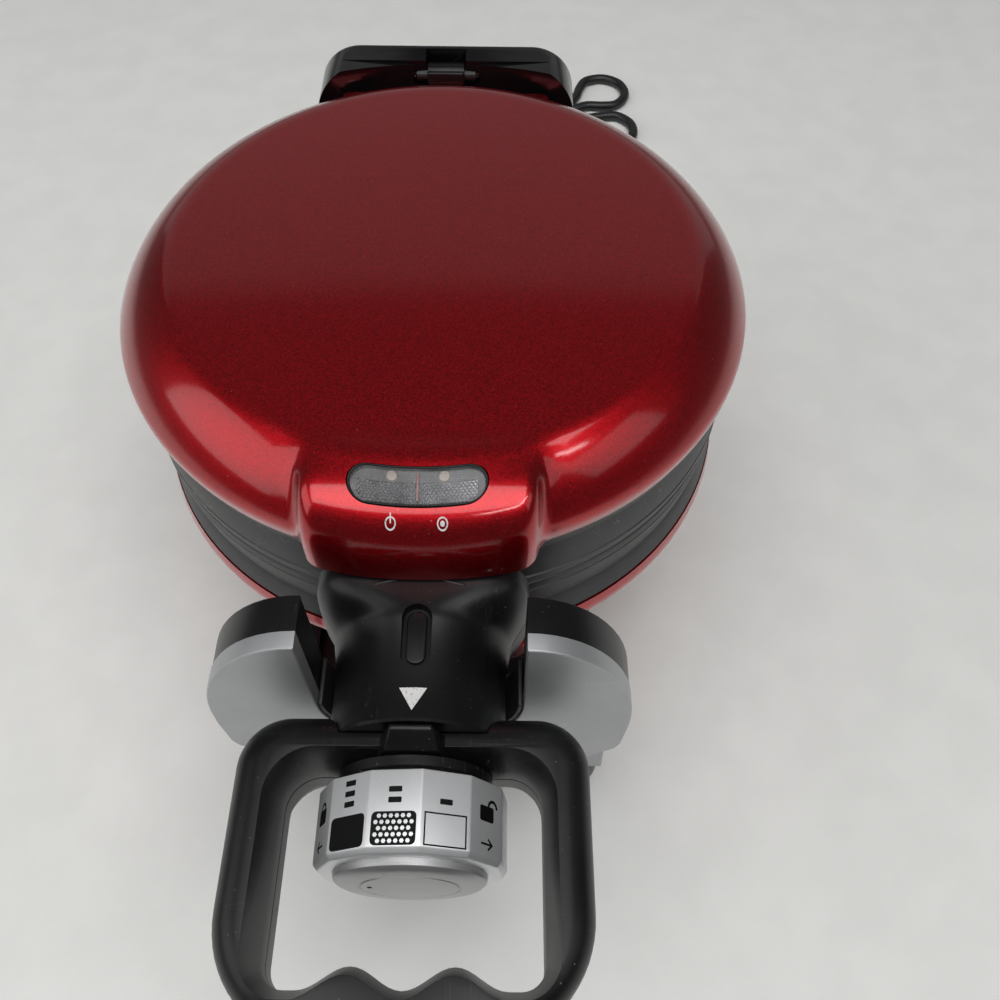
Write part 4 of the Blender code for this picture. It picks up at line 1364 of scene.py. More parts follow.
# --- the collar and the handle -------------------------------------------------------
@dataclass
class Collar:
    """The waisted neck between the head and the handle, which turns in the yoke."""

    r: float = 0.0296
    waist_r: float = 0.0280
    bore: float = 0.0220
    rear_y: float = -0.1186
    round_y: float = -0.1380  # in front of this the neck is round
    cheek_half: float = 0.0358
    cheek_tall: float = 0.0287
    slot_y: float = -0.1450
    slot_floor: float = 0.0266

    def radius(self, y: float) -> float:
        """Radius of the round neck at a place along it.

        Args:
            y: the place from front to back.

        Returns:
            The radius in metres.
        """
        front = LAYOUT.collar_front_y
        share = (y - front) / (self.round_y - front)
        return self.waist_r + (self.r - self.waist_r) * abs(2 * share - 1) ** 2.4

    def flare(self, p: Vector) -> Vector:
        """Spreads the round neck into a square shoulder towards the head.

        Args:
            p: a place.

        Returns:
            The new place.
        """
        reach = math.hypot(p.x, p.z)
        if p.y < self.round_y or reach < self.bore + 0.001:
            return p
        share = min(1.0, (p.y - self.round_y) / (self.rear_y - 0.004 - self.round_y))
        share = share * share * (3 - 2 * share)
        power = 2 / (2 + 2.2 * share)
        turn = math.atan2(p.z, p.x)
        wide = self.r + (self.cheek_half - self.r) * share
        tall = self.r + (self.cheek_tall - self.r) * share
        across, above = abs(math.cos(turn)) ** power, abs(math.sin(turn)) ** power
        return Vector((math.copysign(wide * across, p.x), p.y, math.copysign(tall * above, p.z)))

    def barrel(self) -> Mould:
        """Half of the neck, with soft lips at both ends.

        Returns:
            The mesh.
        """
        front = LAYOUT.collar_front_y
        stations = [front + 0.0008 + i * 0.0010 for i in range(52)]
        profile = [(self.bore, self.rear_y), (self.r - 0.0008, self.rear_y), (self.r, self.rear_y - 0.0006)]
        profile += [(self.radius(min(y, self.round_y)), y) for y in reversed(stations)]
        profile += [(self.r - 0.0007, front), (self.bore, front)]
        half = Mould.turned(profile, Axis.Y, 72, math.pi, -math.pi / 2)
        return half.reshape(self.flare).move(z=GAP)

    def webs(self) -> list[Mould]:
        """The crossing ribs on top of the shoulder.

        Returns:
            The meshes.
        """
        parts = []
        for side in (-1, 1):
            web = Mould.block((-0.0150, -0.0005, 0.0270), (0.0150, 0.0005, 0.0292)).soften(0.0003, 2)
            turn = Matrix.Rotation(math.radians(side * 14), 4, "Z")
            parts.append(web.place(Matrix.Translation((0, -0.1235, 0)) @ turn))
        return parts

    def triangle(self) -> Mould:
        """The printed triangle that points at the dial's marks, wrapped on the neck.

        Returns:
            The mesh.
        """
        mould = Mould.extruded([(-0.0042, 0.0036), (0.0, -0.0038), (0.0042, 0.0036)], Axis.Z, 0.0, 0.00012)
        faces = [f for f in mould.bm.faces if abs(f.normal.z) > 0.9]
        bmesh.ops.triangulate(mould.bm, faces=faces)
        bmesh.ops.subdivide_edges(mould.bm, edges=mould.bm.edges, cuts=7, use_grid_fill=True)
        middle = -0.1655

        def wrap(p: Vector) -> Vector:
            """Lays a flat point on the neck.

            Args:
                p: a place.

            Returns:
                The new place.
            """
            y = middle + p.y
            r = self.radius(y) + GAP + 0.00003 + p.z
            return Vector((r * math.sin(p.x / r), y, r * math.cos(p.x / r)))

        return mould.reshape(wrap)

    def build(self, shop: Workshop) -> None:
        """Makes both halves, and the lid's pill-shaped inlay and triangle.

        Args:
            shop: the workshop.
        """
        black = shop.palette.satin_black
        for word, body, lower in (("upper", "lid", False), ("lower", "lower_half", True)):
            barrel = self.barrel()
            if not lower:
                pill = [(b, self.slot_y + a) for a, b in stadium(0.0203, 0.0088, 14)]
                barrel.carve(flared(pill[::-1], self.slot_floor, 0.0320, grown(pill[::-1], 0.0008)))
            barrel.with_more(*self.webs())
            shop.show(barrel.over(lower), f"{word}_neck_barrel", black, body, [f"{word}_collar"])
        pill = [(b, self.slot_y + a) for a, b in stadium(0.0178, 0.0062, 14)]
        inlay = Mould.extruded(
            pill[::-1], Axis.Z, self.slot_floor + 0.0002, self.slot_floor + 0.0013
        ).soften(0.0005, 3)
        shop.show(inlay, "collar_pill", black, "lid", ["collar_inlay"])
        shop.show(self.triangle(), "pointer_mark", shop.palette.white_ink, "lid")


@dataclass
class LoopHandle:
    """The loop handle in two halves, with finger valleys inside its front bar."""

    half: float = 0.0535
    rear_y: float = -0.1660
    front_y: float = -0.2540
    rear_corner: float = 0.0160
    front_corner: float = 0.0320
    loop_half: float = 0.0396
    loop_front_y: float = -0.2380
    finger_pitch: float = 0.0290
    finger_depth: float = 0.0030
    edge: float = 0.0090
    ridge: float = 0.0036
    ridge_drop: float = 0.0120
    ridge_round: float = 0.0016

    def outer(self) -> list[Point2]:
        """The outside of the handle.

        Returns:
            The outline's points.
        """
        return rounded(
            [
                (-self.half, self.front_y, self.front_corner), (self.half, self.front_y, self.front_corner),
                (self.half, self.rear_y, self.rear_corner), (-self.half, self.rear_y, self.rear_corner),
            ],
            16,
        )

    def loop(self, grow: float = 0.0) -> list[Point2]:
        """The hole for the fingers, larger all round by grow.

        Args:
            grow: how far outwards.

        Returns:
            The outline's points.
        """
        wave = []
        for step in range(-16, 17):
            x = self.finger_pitch * step / 16
            y = self.loop_front_y - grow - self.finger_depth * math.cos(math.tau * x / self.finger_pitch)
            wave.append((x, y, 0.0))
        valley = self.loop_front_y - grow - self.finger_depth
        rear, half = LAYOUT.loop_rear_y + grow, self.loop_half + grow
        corners = [(-half, valley, 0.007 + grow), *wave, (half, valley, 0.007 + grow)]
        return rounded(corners + [(half, rear, 0.011 + grow), (-half, rear, 0.011 + grow)], 10)

    def near_loop(self, p: Vector) -> bool:
        """Whether a point of the top face is on the edge of the finger hole.

        Args:
            p: a place.

        Returns:
            Whether it is.
        """
        return abs(
            p.x
        ) < self.loop_half + 0.005 and self.loop_front_y - 0.008 < p.y < LAYOUT.loop_rear_y + 0.005

    def shape(self) -> Mould:
        """One half of the handle, for the lid.

        Returns:
            The mesh.
        """
        top = LAYOUT.handle_h
        body = Mould.extruded(self.outer(), Axis.Z, GAP, top)
        high = lying_at(Axis.Z, top)
        low = lying_at(Axis.Z, GAP)
        body.soften(self.edge, 9, high, 60).soften(0.0005, 2, low, 60)
        loop = self.loop()
        body.carve(flared(loop, top - self.ridge_drop, top + 0.0004, self.loop(self.ridge)))
        inner = lambda e: all(abs(v.co.z - top) < 1e-6 and self.near_loop(v.co) for v in e.verts)
        body.soften(self.ridge_round, 4, inner, 25)
        body.carve(Mould.extruded(loop, Axis.Z, -0.01, top + 0.01))
        body.carve(Mould.rod(Axis.Y, LAYOUT.collar_r + 0.0004, LAYOUT.collar_front_y - GAP, -0.15, steps=96))
        body.carve(Mould.rod(Axis.Y, 0.0050, -0.19, -0.15))
        return body

    def tab(self) -> Mould:
        """The worn wedge behind the dial.

        Returns:
            The mesh.
        """
        outline = [(-0.0110, 0.0165), (0.0110, 0.0165), (0.0062, 0.0295), (-0.0062, 0.0295)]
        wedge = Mould.extruded(outline, Axis.Y, -0.1800, -0.1735)
        slope = [(-0.1900, 0.0150), (-0.1900, 0.0400), (-0.1735, 0.0310), (-0.1800, 0.0245)]
        wedge.carve(Mould.extruded(slope, Axis.X, -0.02, 0.02))
        return wedge.soften(0.0006, 3)

    def build(self, shop: Workshop) -> None:
        """Makes both halves.

        Args:
            shop: the workshop.
        """
        for word, body, lower in (("upper", "lid", False), ("lower", "lower_half", True)):
            half = self.shape()
            if not lower:
                half.with_more(self.tab())
            shop.show(
                half.over(lower), f"{word}_grip", shop.palette.satin_black, body, [f"{word}_handle"],
                sharp=30,
            )


# --- the indicator window ----------------------------------------------------------------
@dataclass
class Indicator:
    """A clear arched window over two lamps, with a knurled light guide in it."""

    seat: WindowSeat = field(default_factory=WindowSeat)

    def build(self, shop: Workshop) -> None:
        """Makes the bezel, lens, light guide, divider and lamps.

        Args:
            shop: the workshop.
        """
        seat, paint = self.seat, shop.palette
        bezel = Mould.extruded(seat.outline(0.00035), Axis.Z, -0.0046, -0.0002)
        bezel.carve(Mould.extruded(seat.outline(0.00085), Axis.Z, -0.0034, 0.004))
        shop.show(
            seat.seat(bezel.soften(0.0002, 2)), "window_bezel", paint.satin_black, "lid",
            ["indicator_bezel"],
        )
        guide = Mould.extruded(seat.outline(0.0011), Axis.Z, -0.0032, -0.0026)
        shop.show(seat.seat(guide), "window_tray", paint.tray_grey, "lid")
        knurl = self.knurl()
        shop.show(seat.seat(knurl), "light_guide", paint.prism, "lid", sharp=10)
        for word, x in (("power", -0.0082), ("ready", 0.0082)):
            lamp = Mould.turned(
                [(0, -0.0100), (0.0021, -0.0100), (0.0021, -0.0024), (0.0016, -0.0016), (0, -0.0013)],
                Axis.Z, 24,
            )
            shop.show(
                seat.seat(lamp.move(x, 0.0036)), f"{word}_light", paint.lamp, "lid", [f"{word}_lamp"],
            )
        bar = Mould.block((-0.0004, -0.0045, -0.0030), (0.0004, 0.0047, -0.0012)).soften(0.0002, 2)
        shop.show(seat.seat(bar), "window_divider", paint.divider, "lid")
        shop.show(self.signs(), "window_signs", paint.white_ink, "lid")
        lens = Mould.extruded(seat.outline(0.0010), Axis.Z, -0.0009, -0.0001).soften(0.0003, 3, sharp=60)
        shop.show(seat.seat(lens), "window_lens", paint.clear_lens, "lid", ["indicator_lens"])

    def signs(self) -> Mould:
        """Two small printed signs in front of the window: a ring with a stroke, and a dot in a ring.

        Returns:
            The mesh.
        """
        shell, parts, y = RedShell(), [], -0.1178
        for x, solid in ((-0.0080, False), (0.0080, True)):
            ring = Mould.turned([(0.0013, 0), (0.0017, 0), (0.0017, 0.0001), (0.0013, 0.0001)], Axis.Z, 28)
            parts.append(ring.move(x, y))
            if solid:
                parts.append(Mould.rod(Axis.Z, 0.0007, 0.0, 0.0001, (x, y), 20))
            else:
                parts.append(Mould.block((x - 0.0002, y, 0.0), (x + 0.0002, y + 0.0026, 0.0001)))
        return parts[0].with_more(*parts[1:]).reshape(
            lambda p: Vector((p.x, p.y, p.z + shell.top_at(p.x, p.y)))
        )

    def knurl(self) -> Mould:
        """Rows of small pyramids, as a light guide has them.

        Returns:
            The mesh.
        """
        rows, pitch = [], 0.00128
        half, low, high = self.seat.length / 2 - 0.0036, -0.0050, 0.0022
        for row in range(8):
            y = low + row * pitch * 0.72
            for column in range(-17, 18):
                x = (column + 0.5 * (row % 2)) * pitch
                if y > high or abs(x) > half - max(0.0, abs(y) - 0.0030) * 1.2:
                    continue
                cone = Mould()
                bmesh.ops.create_cone(
                    cone.bm, cap_ends=False, segments=4, radius1=pitch * 0.56, radius2=0.00005,
                    depth=0.0007,
                    matrix=Matrix.Translation((x, y, -0.0022)) @ Matrix.Scale(0.82, 4, (0, 1, 0)),
                )
                rows.append(cone)
        return rows[0].with_more(*rows[1:])


# --- the dial ----------------------------------------------------------------------------------
@dataclass
class Dial:
    """The faceted knob that sets the browning and turns the latch."""

    r: float = 0.0291
    facets: int = 12
    phase: float = math.radians(8.4)
    rear_y: float = -0.1863
    edge_y: float = -0.2076
    front_y: float = -0.2094
    cap_r: float = 0.0230
    cap_front_y: float = -0.2132

    def knob(self) -> Mould:
        """The knob's body, with softly rounded edges.

        Returns:
            The mesh.
        """
        profile = [
            (0.0044, self.rear_y), (0.0044, -0.2076), (self.cap_r + 0.0004, -0.2076),
            (self.cap_r + 0.0004, self.front_y), (self.r - 0.0014, self.front_y), (self.r, self.edge_y),
            (self.r, self.rear_y),
        ]
        knob = Mould.turned(profile, Axis.Y, self.facets, math.tau, self.phase)
        outside = lambda e: all(math.hypot(v.co.x, v.co.z) > 0.0262 for v in e.verts)
        return knob.soften(0.00045, 3, outside, 12)

    def facet(self, number: int) -> Matrix:
        """Places a mark drawn flat at the origin on a facet, 0 being the top one.

        Args:
            number: the facet's number.

        Returns:
            The facet's place.
        """
        angle = self.phase - math.pi / self.facets + number * math.tau / self.facets
        height = self.r * math.cos(math.pi / self.facets)
        return Matrix.Rotation(angle, 4, "Y") @ Matrix.Translation((0, -0.2008, height))

    def mark(self, outline: Sequence[Point2], lift: float = 0.0) -> Mould:
        """A thin printed shape."""
        return Mould.extruded(outline, Axis.Z, lift - 0.00004, lift + 0.00005)

    def bar(self, x: float, y: float, half_x: float, half_y: float) -> Mould:
        """A short printed stroke.

        Args:
            x: the place across.
            y: the place from front to back.
            half_x: half its width.
            half_y: half its length.

        Returns:
            The mesh.
        """
        corners = [
            (x - half_x, y - half_y), (x + half_x, y - half_y), (x + half_x, y + half_y),
            (x - half_x, y + half_y),
        ]
        return self.mark(rounded([(a, b, min(half_x, half_y) * 0.3) for a, b in corners], 3))

    def frame(self, half_x: float, half_y: float, line: float) -> list[Mould]:
        """The outline of a printed box."""
        sides = [self.bar(0, side * (half_y - line), half_x, line) for side in (-1, 1)]
        return sides + [self.bar(side * (half_x - line), 0, line, half_y) for side in (-1, 1)]

    def padlock(self, open_: bool) -> list[Mould]:
        """A small lock sign, shut or open.

        Args:
            open_: whether the shackle stands open.

        Returns:
            The meshes.
        """
        shift = 0.0016 if open_ else 0.0
        hoop = arc(shift, 0.0012, 0.0014, 0, 180, 12) + arc(shift, 0.0012, 0.0009, 180, 0, 12)
        return [self.bar(0, 0, 0.0019, 0.0013), self.mark(hoop)]

    def arrow(self, side: int) -> list[Mould]:
        """A small arrow that points one way round the dial.

        Args:
            side: minus one for the left, one for the right.

        Returns:
            The meshes.
        """
        strokes = [self.bar(0, -0.0050, 0.0015, 0.00018)]
        for tilt in (-40, 40):
            stroke = self.bar(-side * 0.0006, 0, 0.0008, 0.00018)
            turn = Matrix.Rotation(math.radians(tilt), 4, "Z")
            strokes.append(stroke.place(Matrix.Translation((side * 0.0015, -0.0050, 0)) @ turn))
        return strokes

    def marks(self) -> Mould:
        """All the printed signs: three shades of baking, two lock signs and two arrows.

        Returns:
            The mesh.
        """
        half_x, half_y = 0.0064, 0.0046
        shade = Matrix.Translation((0, -0.0020, 0))
        parts = [self.bar(0, 0, half_x, half_y).place(self.facet(-1) @ shade)]
        parts += [part.place(self.facet(1) @ shade) for part in self.frame(half_x, half_y, 0.00022)]
        lattice = self.bar(0, 0, half_x, half_y)
        for row in range(-2, 3):
            for column in range(-4, 4):
                x, y = column * 0.0017 + (0.0017 if row % 2 else 0.00085), row * 0.0017
                if abs(x) < half_x - 0.0007:
                    lattice.carve(Mould.rod(Axis.Z, 0.00066, -0.001, 0.001, (x, y), 6))
        parts.append(lattice.place(self.facet(0) @ shade))
        for number, count in ((-1, 3), (0, 2), (1, 1)):
            parts += [
                self.bar(
                    0, 0.0058 + 0.0030 * i, 0.0019, 0.0008
                ).place(self.facet(number)) for i in range(count)
            ]
        for number, open_, side in ((-2, False, -1), (2, True, 1)):
            grow = self.facet(number) @ Matrix.Translation((0, 0.0050, 0)) @ Matrix.Diagonal(
                (1.7, 1.7, 1.0, 1.0)
            )
            parts += [part.place(grow) for part in self.padlock(open_) + self.arrow(side)]
        return parts[0].with_more(*parts[1:])

    def cap(self) -> Mould:
        """The round face, with an engraved ring; its dot is made in build.

        Returns:
            The mesh.
        """
        r, front = self.cap_r, self.cap_front_y
        face = [
            (0, -0.2079), (r, -0.2079), (r, -0.2106), (r - 0.0003, -0.2114), (r - 0.0010, -0.2120),
            (r - 0.0022, -0.2125), (r - 0.0040, -0.2128), (0.0152, front + 0.0003),
            (0.0150, front + 0.0006), (0.0146, front + 0.0006), (0.0144, front + 0.0002), (0.0080, front),
            (0, front),
        ]
        return Mould.turned(face, Axis.Y, 128)

    def build(self, shop: Workshop) -> None:
        """Makes the knob, its cap, its marks and the dark ring behind it.

        Args:
            shop: the workshop.
        """
        paint = shop.palette
        # The knob gets the lighter silver, painted light for the brightness of its facets.
        shop.show(
            self.knob(), "knob_body", paint.dial_silver_painted_lighter, "dial", ["dial_knob"],
            sharp=20,
        )
        shop.show(self.cap(), "knob_cap", paint.cap_silver, "dial", ["dial_cap"], sharp=18)
        shop.show(self.marks(), "knob_marks", paint.black_ink, "dial")
        dot = Mould.rod(
            Axis.Y, 0.0007, self.cap_front_y - 0.00005, self.cap_front_y + 0.0006, (-0.0118, 0.001), 20
        )
        shop.show(dot, "cap_dot", paint.black_ink, "dial")
        ring = [
            (0.0045, -0.18085), (0.0240, -0.18085), (0.0240, -0.1838), (0.0234, -0.1843), (0.0240, -0.1848)
        ]
        ring += [(0.0240, self.rear_y + GAP), (0.0045, self.rear_y + GAP)]
        shop.show(Mould.turned(ring, Axis.Y, 96), "neck_ring", paint.satin_black, "lid", ["dial_neck"])


# --- the rear housing ------------------------------------------------------------------------
@dataclass
class RearHousing:
    """The glossy block behind the head that holds the hinge and the pivot tube."""

    half: float = 0.0570
    tall: float = 0.0565
    corner: float = 0.0190
    front_y: float = 0.104
    rear_y: float = 0.131
    rim_y: float = 0.120
    rim_r: float = 0.1196

    def mouth(self) -> Mould:
        """The cut in front of the rim, whose floor ramps down towards the middle.

        Returns:
            The mesh.
        """
        outline = [
            (-0.0476, 0.0549), (-0.0140, 0.0532), (-0.0136, 0.0525), (0.0136, 0.0525), (0.0140, 0.0532),
            (0.0476, 0.0549), (0.0476, 0.0800), (-0.0476, 0.0800),
        ]
        return Mould.extruded(outline, Axis.Y, 0.090, self.rim_y)

    def build(self, shop: Workshop) -> None:
        """Makes the housing, with its ramps, slots and pin bore, and the lid's knuckle.

        Args:
            shop: the workshop.
        """
        outline = box_outline(self.half, -self.tall, self.tall, self.corner, 20)
        block = Mould.extruded(outline, Axis.Y, self.front_y, self.rear_y)
        back = lying_at(Axis.Y, self.rear_y)
        block.soften(0.0030, 5, back, 60)
        block.carve(Mould.rod(Axis.Z, self.rim_r + 0.0006, -0.09, 0.09, steps=256))
        for lower in (False, True):
            block.carve(self.mouth().over(lower))
            slope = [
                (self.rim_y - 0.0001, 0.0549), (0.1312, 0.0569), (0.1312, 0.07), (self.rim_y - 0.0001, 0.07)
            ]
            block.carve(Mould.extruded(slope, Axis.X, -0.0476, 0.0476).over(lower))
            block.carve(Mould.block((-0.0088, 0.09, 0.0420), (0.0088, 0.1272, 0.0600)).over(lower))
        block.carve(Mould.rod(Axis.X, 0.00335, -0.0145, 0.0145, (LAYOUT.hinge_y, LAYOUT.hinge_z), 32))
        block.carve(Mould.rod(Axis.Y, 0.0130, 0.10, 0.14, steps=48))
        shop.show(
            block, "rear_block", shop.palette.gloss_black, "lower_half", ["hinge_housing"],
        )
        knuckle = Mould.block(
            (-0.0081, 0.1159, 0.0430), (0.0081, LAYOUT.hinge_y + 0.0030, LAYOUT.hinge_z + 0.0040)
        )
        knuckle.soften(0.0008, 3)
        eye = Mould.rod(
            Axis.X, 0.0052, -0.0082, 0.0082, (LAYOUT.hinge_y, LAYOUT.hinge_z), 48
        ).soften(0.0005, 2, sharp=60)
        knuckle.carve(eye, Cut.ONTO)
        knuckle.carve(Mould.rod(Axis.X, 0.00335, -0.06, 0.06, (LAYOUT.hinge_y, LAYOUT.hinge_z), 32))
        shop.show(knuckle, "lid_knuckle", shop.palette.satin_black, "lid", ["lid_hinge_bracket"])


# --- the stand ----------------------------------------------------------------------------------
@dataclass
class Yoke:
    """The two ears that carry the collar: a black back and a silver front."""

    back_y: float = -0.1390
    split_y: float = -0.1510
    front_y: float = -0.1570
    top_z: float = 0.0440
    half: float = 0.0700
    saddle_r: float = 0.0340
    band: float = 0.0034

    def outline(self, grow: float = 0.0, steps: int = 14) -> list[Point2]:
        """The ears with the round-bottomed slot between them.

        Args:
            grow: how far outwards.
            steps: how many points a curve gets.

        Returns:
            The outline's points.
        """
        half, top, slot = self.half + grow, self.top_z + grow, self.saddle_r
        turns = [math.radians(90 - 90 * i / steps) for i in range(steps + 1)]
        wide, tall = half - slot, top + 0.012
        shoulder = [(slot + wide * math.cos(a), -0.012 + tall * math.sin(a)) for a in turns]
        right = shoulder + [(half - 0.001, -0.034), (0.060, -0.062)]
        left = [(-x, z) for x, z in reversed(right)]
        return left + arc(0, 0, slot, 180, 360, 24) + right

    def shell(self) -> Mould:
        """The silver front, whose edges roll over into a bright band.

        Returns:
            The mesh.
        """
        mould = Mould.extruded(self.outline(0.0004), Axis.Y, self.front_y, self.split_y - GAP / 2)
        under = [
            (self.front_y - 0.001, -0.034), (self.split_y + 0.001, -0.075), (self.front_y - 0.001, -0.075)
        ]
        mould.carve(Mould.extruded(under, Axis.X, -0.1, 0.1))
        rolled = lambda e: all(abs(v.co.y - self.front_y) < 1e-6 and v.co.z > -0.033 for v in e.verts)
        return mould.soften(self.band, 6, rolled, 40)

    def build(self, shop: Workshop) -> None:
        """Makes the yoke's two layers and the saddle's liner.

        Args:
            shop: the workshop.
        """
        paint = shop.palette
        back = Mould.extruded(self.outline(), Axis.Y, self.split_y + GAP / 2, self.back_y)
        rear = lambda e: all(abs(v.co.y - self.back_y) < 1e-6 and v.co.z > -0.03 for v in e.verts)
        back.soften(0.0030, 5, rear, 60)
        shop.show(back, "yoke_back", paint.satin_black, "stand", ["front_post_back"])
        shop.show(self.shell(), "yoke_front", paint.satin_silver, "stand", ["front_post_shell"])
        out, near = self.saddle_r - GAP, self.saddle_r - GAP - 0.0014
        liner = [*arc(0, 0, out, 180, 360, 48), *arc(0, 0, near, 360, 180, 48)]
        strip = Mould.extruded(
            liner, Axis.Y, self.front_y + 0.0008, self.back_y - 0.0008
        ).soften(0.0004, 2, sharp=60)
        shop.show(strip, "saddle_strip", paint.nylon, "stand", ["saddle_liner"])


@dataclass
class Base:
    """The tray base with its front leg, rear post, drip tray and feet."""

    half: float = 0.0720
    front_y: float = -0.1400
    rear_y: float = 0.1680
    bottom_z: float = -0.1410
    floor_z: float = -0.1380
    top_z: float = -0.1190
    tray_x: float = 0.0640
    tray_y: float = 0.1120
    rear_front_y: float = 0.1380
    rear_back_y: float = 0.1650
    cover_y: float = 0.1680

    def tub(self) -> Mould:
        """The base's body, with a well for the tray and a parting line.

        Returns:
            The mesh.
        """
        outline = rounded(
            [
                (-self.half, self.front_y, 0.012), (self.half, self.front_y, 0.012),
                (self.half, self.rear_y, 0.024), (-self.half, self.rear_y, 0.024),
            ],
            14,
        )
        tub = Mould.extruded(outline, Axis.Z, self.bottom_z, self.top_z)
        tub.soften(0.0018, 4, lying_at(Axis.Z, self.top_z), 60)
        tub.soften(0.0010, 2, lying_at(Axis.Z, self.bottom_z), 60)
        well = self.tray_y + 0.0020
        tub.carve(Mould.block((-0.1, -well, self.floor_z), (0.1, well, 0.0)))
        groove = Mould.extruded(grown(outline, 0.004), Axis.Z, self.floor_z - 0.0004, self.floor_z + 0.0004)
        groove.carve(Mould.extruded(grown(outline, -0.0007), Axis.Z, -0.2, 0.0))
        return tub.carve(groove)

    def tray(self) -> Mould:
        """The drip tray, with ribs in its floor.

        Returns:
            The mesh.
        """
        low, high = -0.1376, -0.1295
        walls = box_outline(self.tray_x, -self.tray_y, self.tray_y, 0.008, 10)
        tray = Mould.extruded(walls, Axis.Z, low, high)
        tray.soften(0.0008, 3, lying_at(Axis.Z, low), 60)
        dish = box_outline(self.tray_x - 0.0022, -self.tray_y + 0.0022, self.tray_y - 0.0022, 0.006, 10)
        tray.carve(flared(dish, low + 0.0020, 0.0, grown(dish, 0.0008)))
        ribs = []
        for i in range(-4, 5):
            rib = Mould.block(
                (-0.054, i * 0.022 - 0.0007, low + 0.0015), (0.054, i * 0.022 + 0.0007, low + 0.0028)
            )
            ribs.append(rib.soften(0.0004, 2))
        return tray.with_more(*ribs)

    def slab(
        self, corners: Sequence[tuple[float, float, float]], low: float, high: float, front: float
    ) -> Mould:
        """An upright slab whose edges at one face are rounded."""
        slab = Mould.extruded(rounded(corners, 14), Axis.Y, low, high)
        return slab.soften(0.0022, 4, lying_at(Axis.Y, front), 60)

    def posts(self, shop: Workshop) -> None:
        """Makes the front leg, the rear post and its cover.

        Args:
            shop: the workshop.
        """
        foot_z, leg_half = self.top_z + GAP, 0.0720
        leg = [
            (-leg_half, foot_z, 0), (leg_half, foot_z, 0), (leg_half - 0.003, -0.034, 0.010),
            (-leg_half + 0.003, -0.034, 0.010),
        ]
        front = self.slab(leg, -0.1387, -0.1315, -0.1387)
        shop.show(front, "front_panel", shop.palette.satin_silver, "stand", ["front_leg"])
        post = [(-0.056, foot_z, 0), (0.056, foot_z, 0), (0.034, 0.026, 0.024), (-0.034, 0.026, 0.024)]
        rear = self.slab(post, self.rear_front_y, self.rear_back_y, self.rear_front_y)
        room = rounded(
            [(-0.050, -0.113, 0), (0.050, -0.113, 0), (0.031, 0.022, 0.020), (-0.031, 0.022, 0.020)], 10
        )
        rear.carve(Mould.extruded(room, Axis.Y, self.rear_front_y + 0.004, self.rear_back_y + 0.01))
        rear.carve(Mould.rod(Axis.Y, 0.0245, self.rear_front_y + 0.0001, 0.1480, steps=64), Cut.ONTO)
        rear.carve(Mould.rod(Axis.Y, 0.0210, 0.13, 0.16, steps=64))
        rear.carve(Mould.rod(Axis.Y, 0.0058, self.rear_front_y + 0.002, 0.1560, (0, -0.045), 32), Cut.ONTO)
        rear.carve(Mould.rod(Axis.Y, 0.0030, 0.13, 0.1540, (0, -0.045), 32))
        shop.show(rear, "rear_column", shop.palette.satin_black, "stand", ["rear_post"])
        cover = self.slab(post, self.rear_back_y + GAP, self.cover_y, self.cover_y)
        for i in range(6):
            z = -0.085 + i * 0.008
            vent = [(a, z + b) for a, b in stadium(0.052, 0.0026, 8)]
            cover.carve(Mould.extruded(vent, Axis.Y, 0.16, 0.17))
        shop.show(cover, "rear_column_cover", shop.palette.satin_black, "stand", ["rear_post_cover"])

    def fittings(self, shop: Workshop) -> None:
        """Makes the feet and the screws.

        Args:
            shop: the workshop.
        """
        paint = shop.palette
        floor, top = -LAYOUT.flip_z, self.bottom_z - GAP
        spots = [(x, y) for y in (-0.118, 0.146) for x in (-0.052, 0.052)]
        for number, (x, y) in enumerate(spots, 1):
            profile = [
                (0, floor + 0.0006), (0.0045, floor + 0.0006), (0.0052, floor), (0.0076, floor),
                (0.0083, floor + 0.0007), (0.0090, top), (0, top),
            ]
            foot = Mould.turned(profile, Axis.Z, 48).move(x, y)
            shop.show(
                foot, f"rubber_foot_{number}", paint.rubber, "stand", [f"foot_{number}"]
            )
            head = [
                (0, self.bottom_z - 0.0012), (0.0012, self.bottom_z - 0.0012),
                (0.0014, self.bottom_z - 0.0021), (0.0028, self.bottom_z - 0.0020),
            ]
            head += [(0.0034, self.bottom_z - 0.0012), (0.0034, top), (0, top)]
            screw = Mould.turned(head, Axis.Z, 32).move(x * 0.6, y)
            shop.show(screw, f"screw_head_{number}", paint.bright_steel, "stand", [f"base_screw_{number}"])

    def build(self, shop: Workshop) -> None:
        """Makes the whole base.

        Args:
            shop: the workshop.
        """
        shop.show(self.tub(), "base_tub", shop.palette.satin_black, "stand", ["base_housing"])
        shop.show(self.tray(), "crumb_tray", shop.palette.satin_black, "drip_tray", ["drip_tray"])
        self.posts(shop)
        self.fittings(shop)


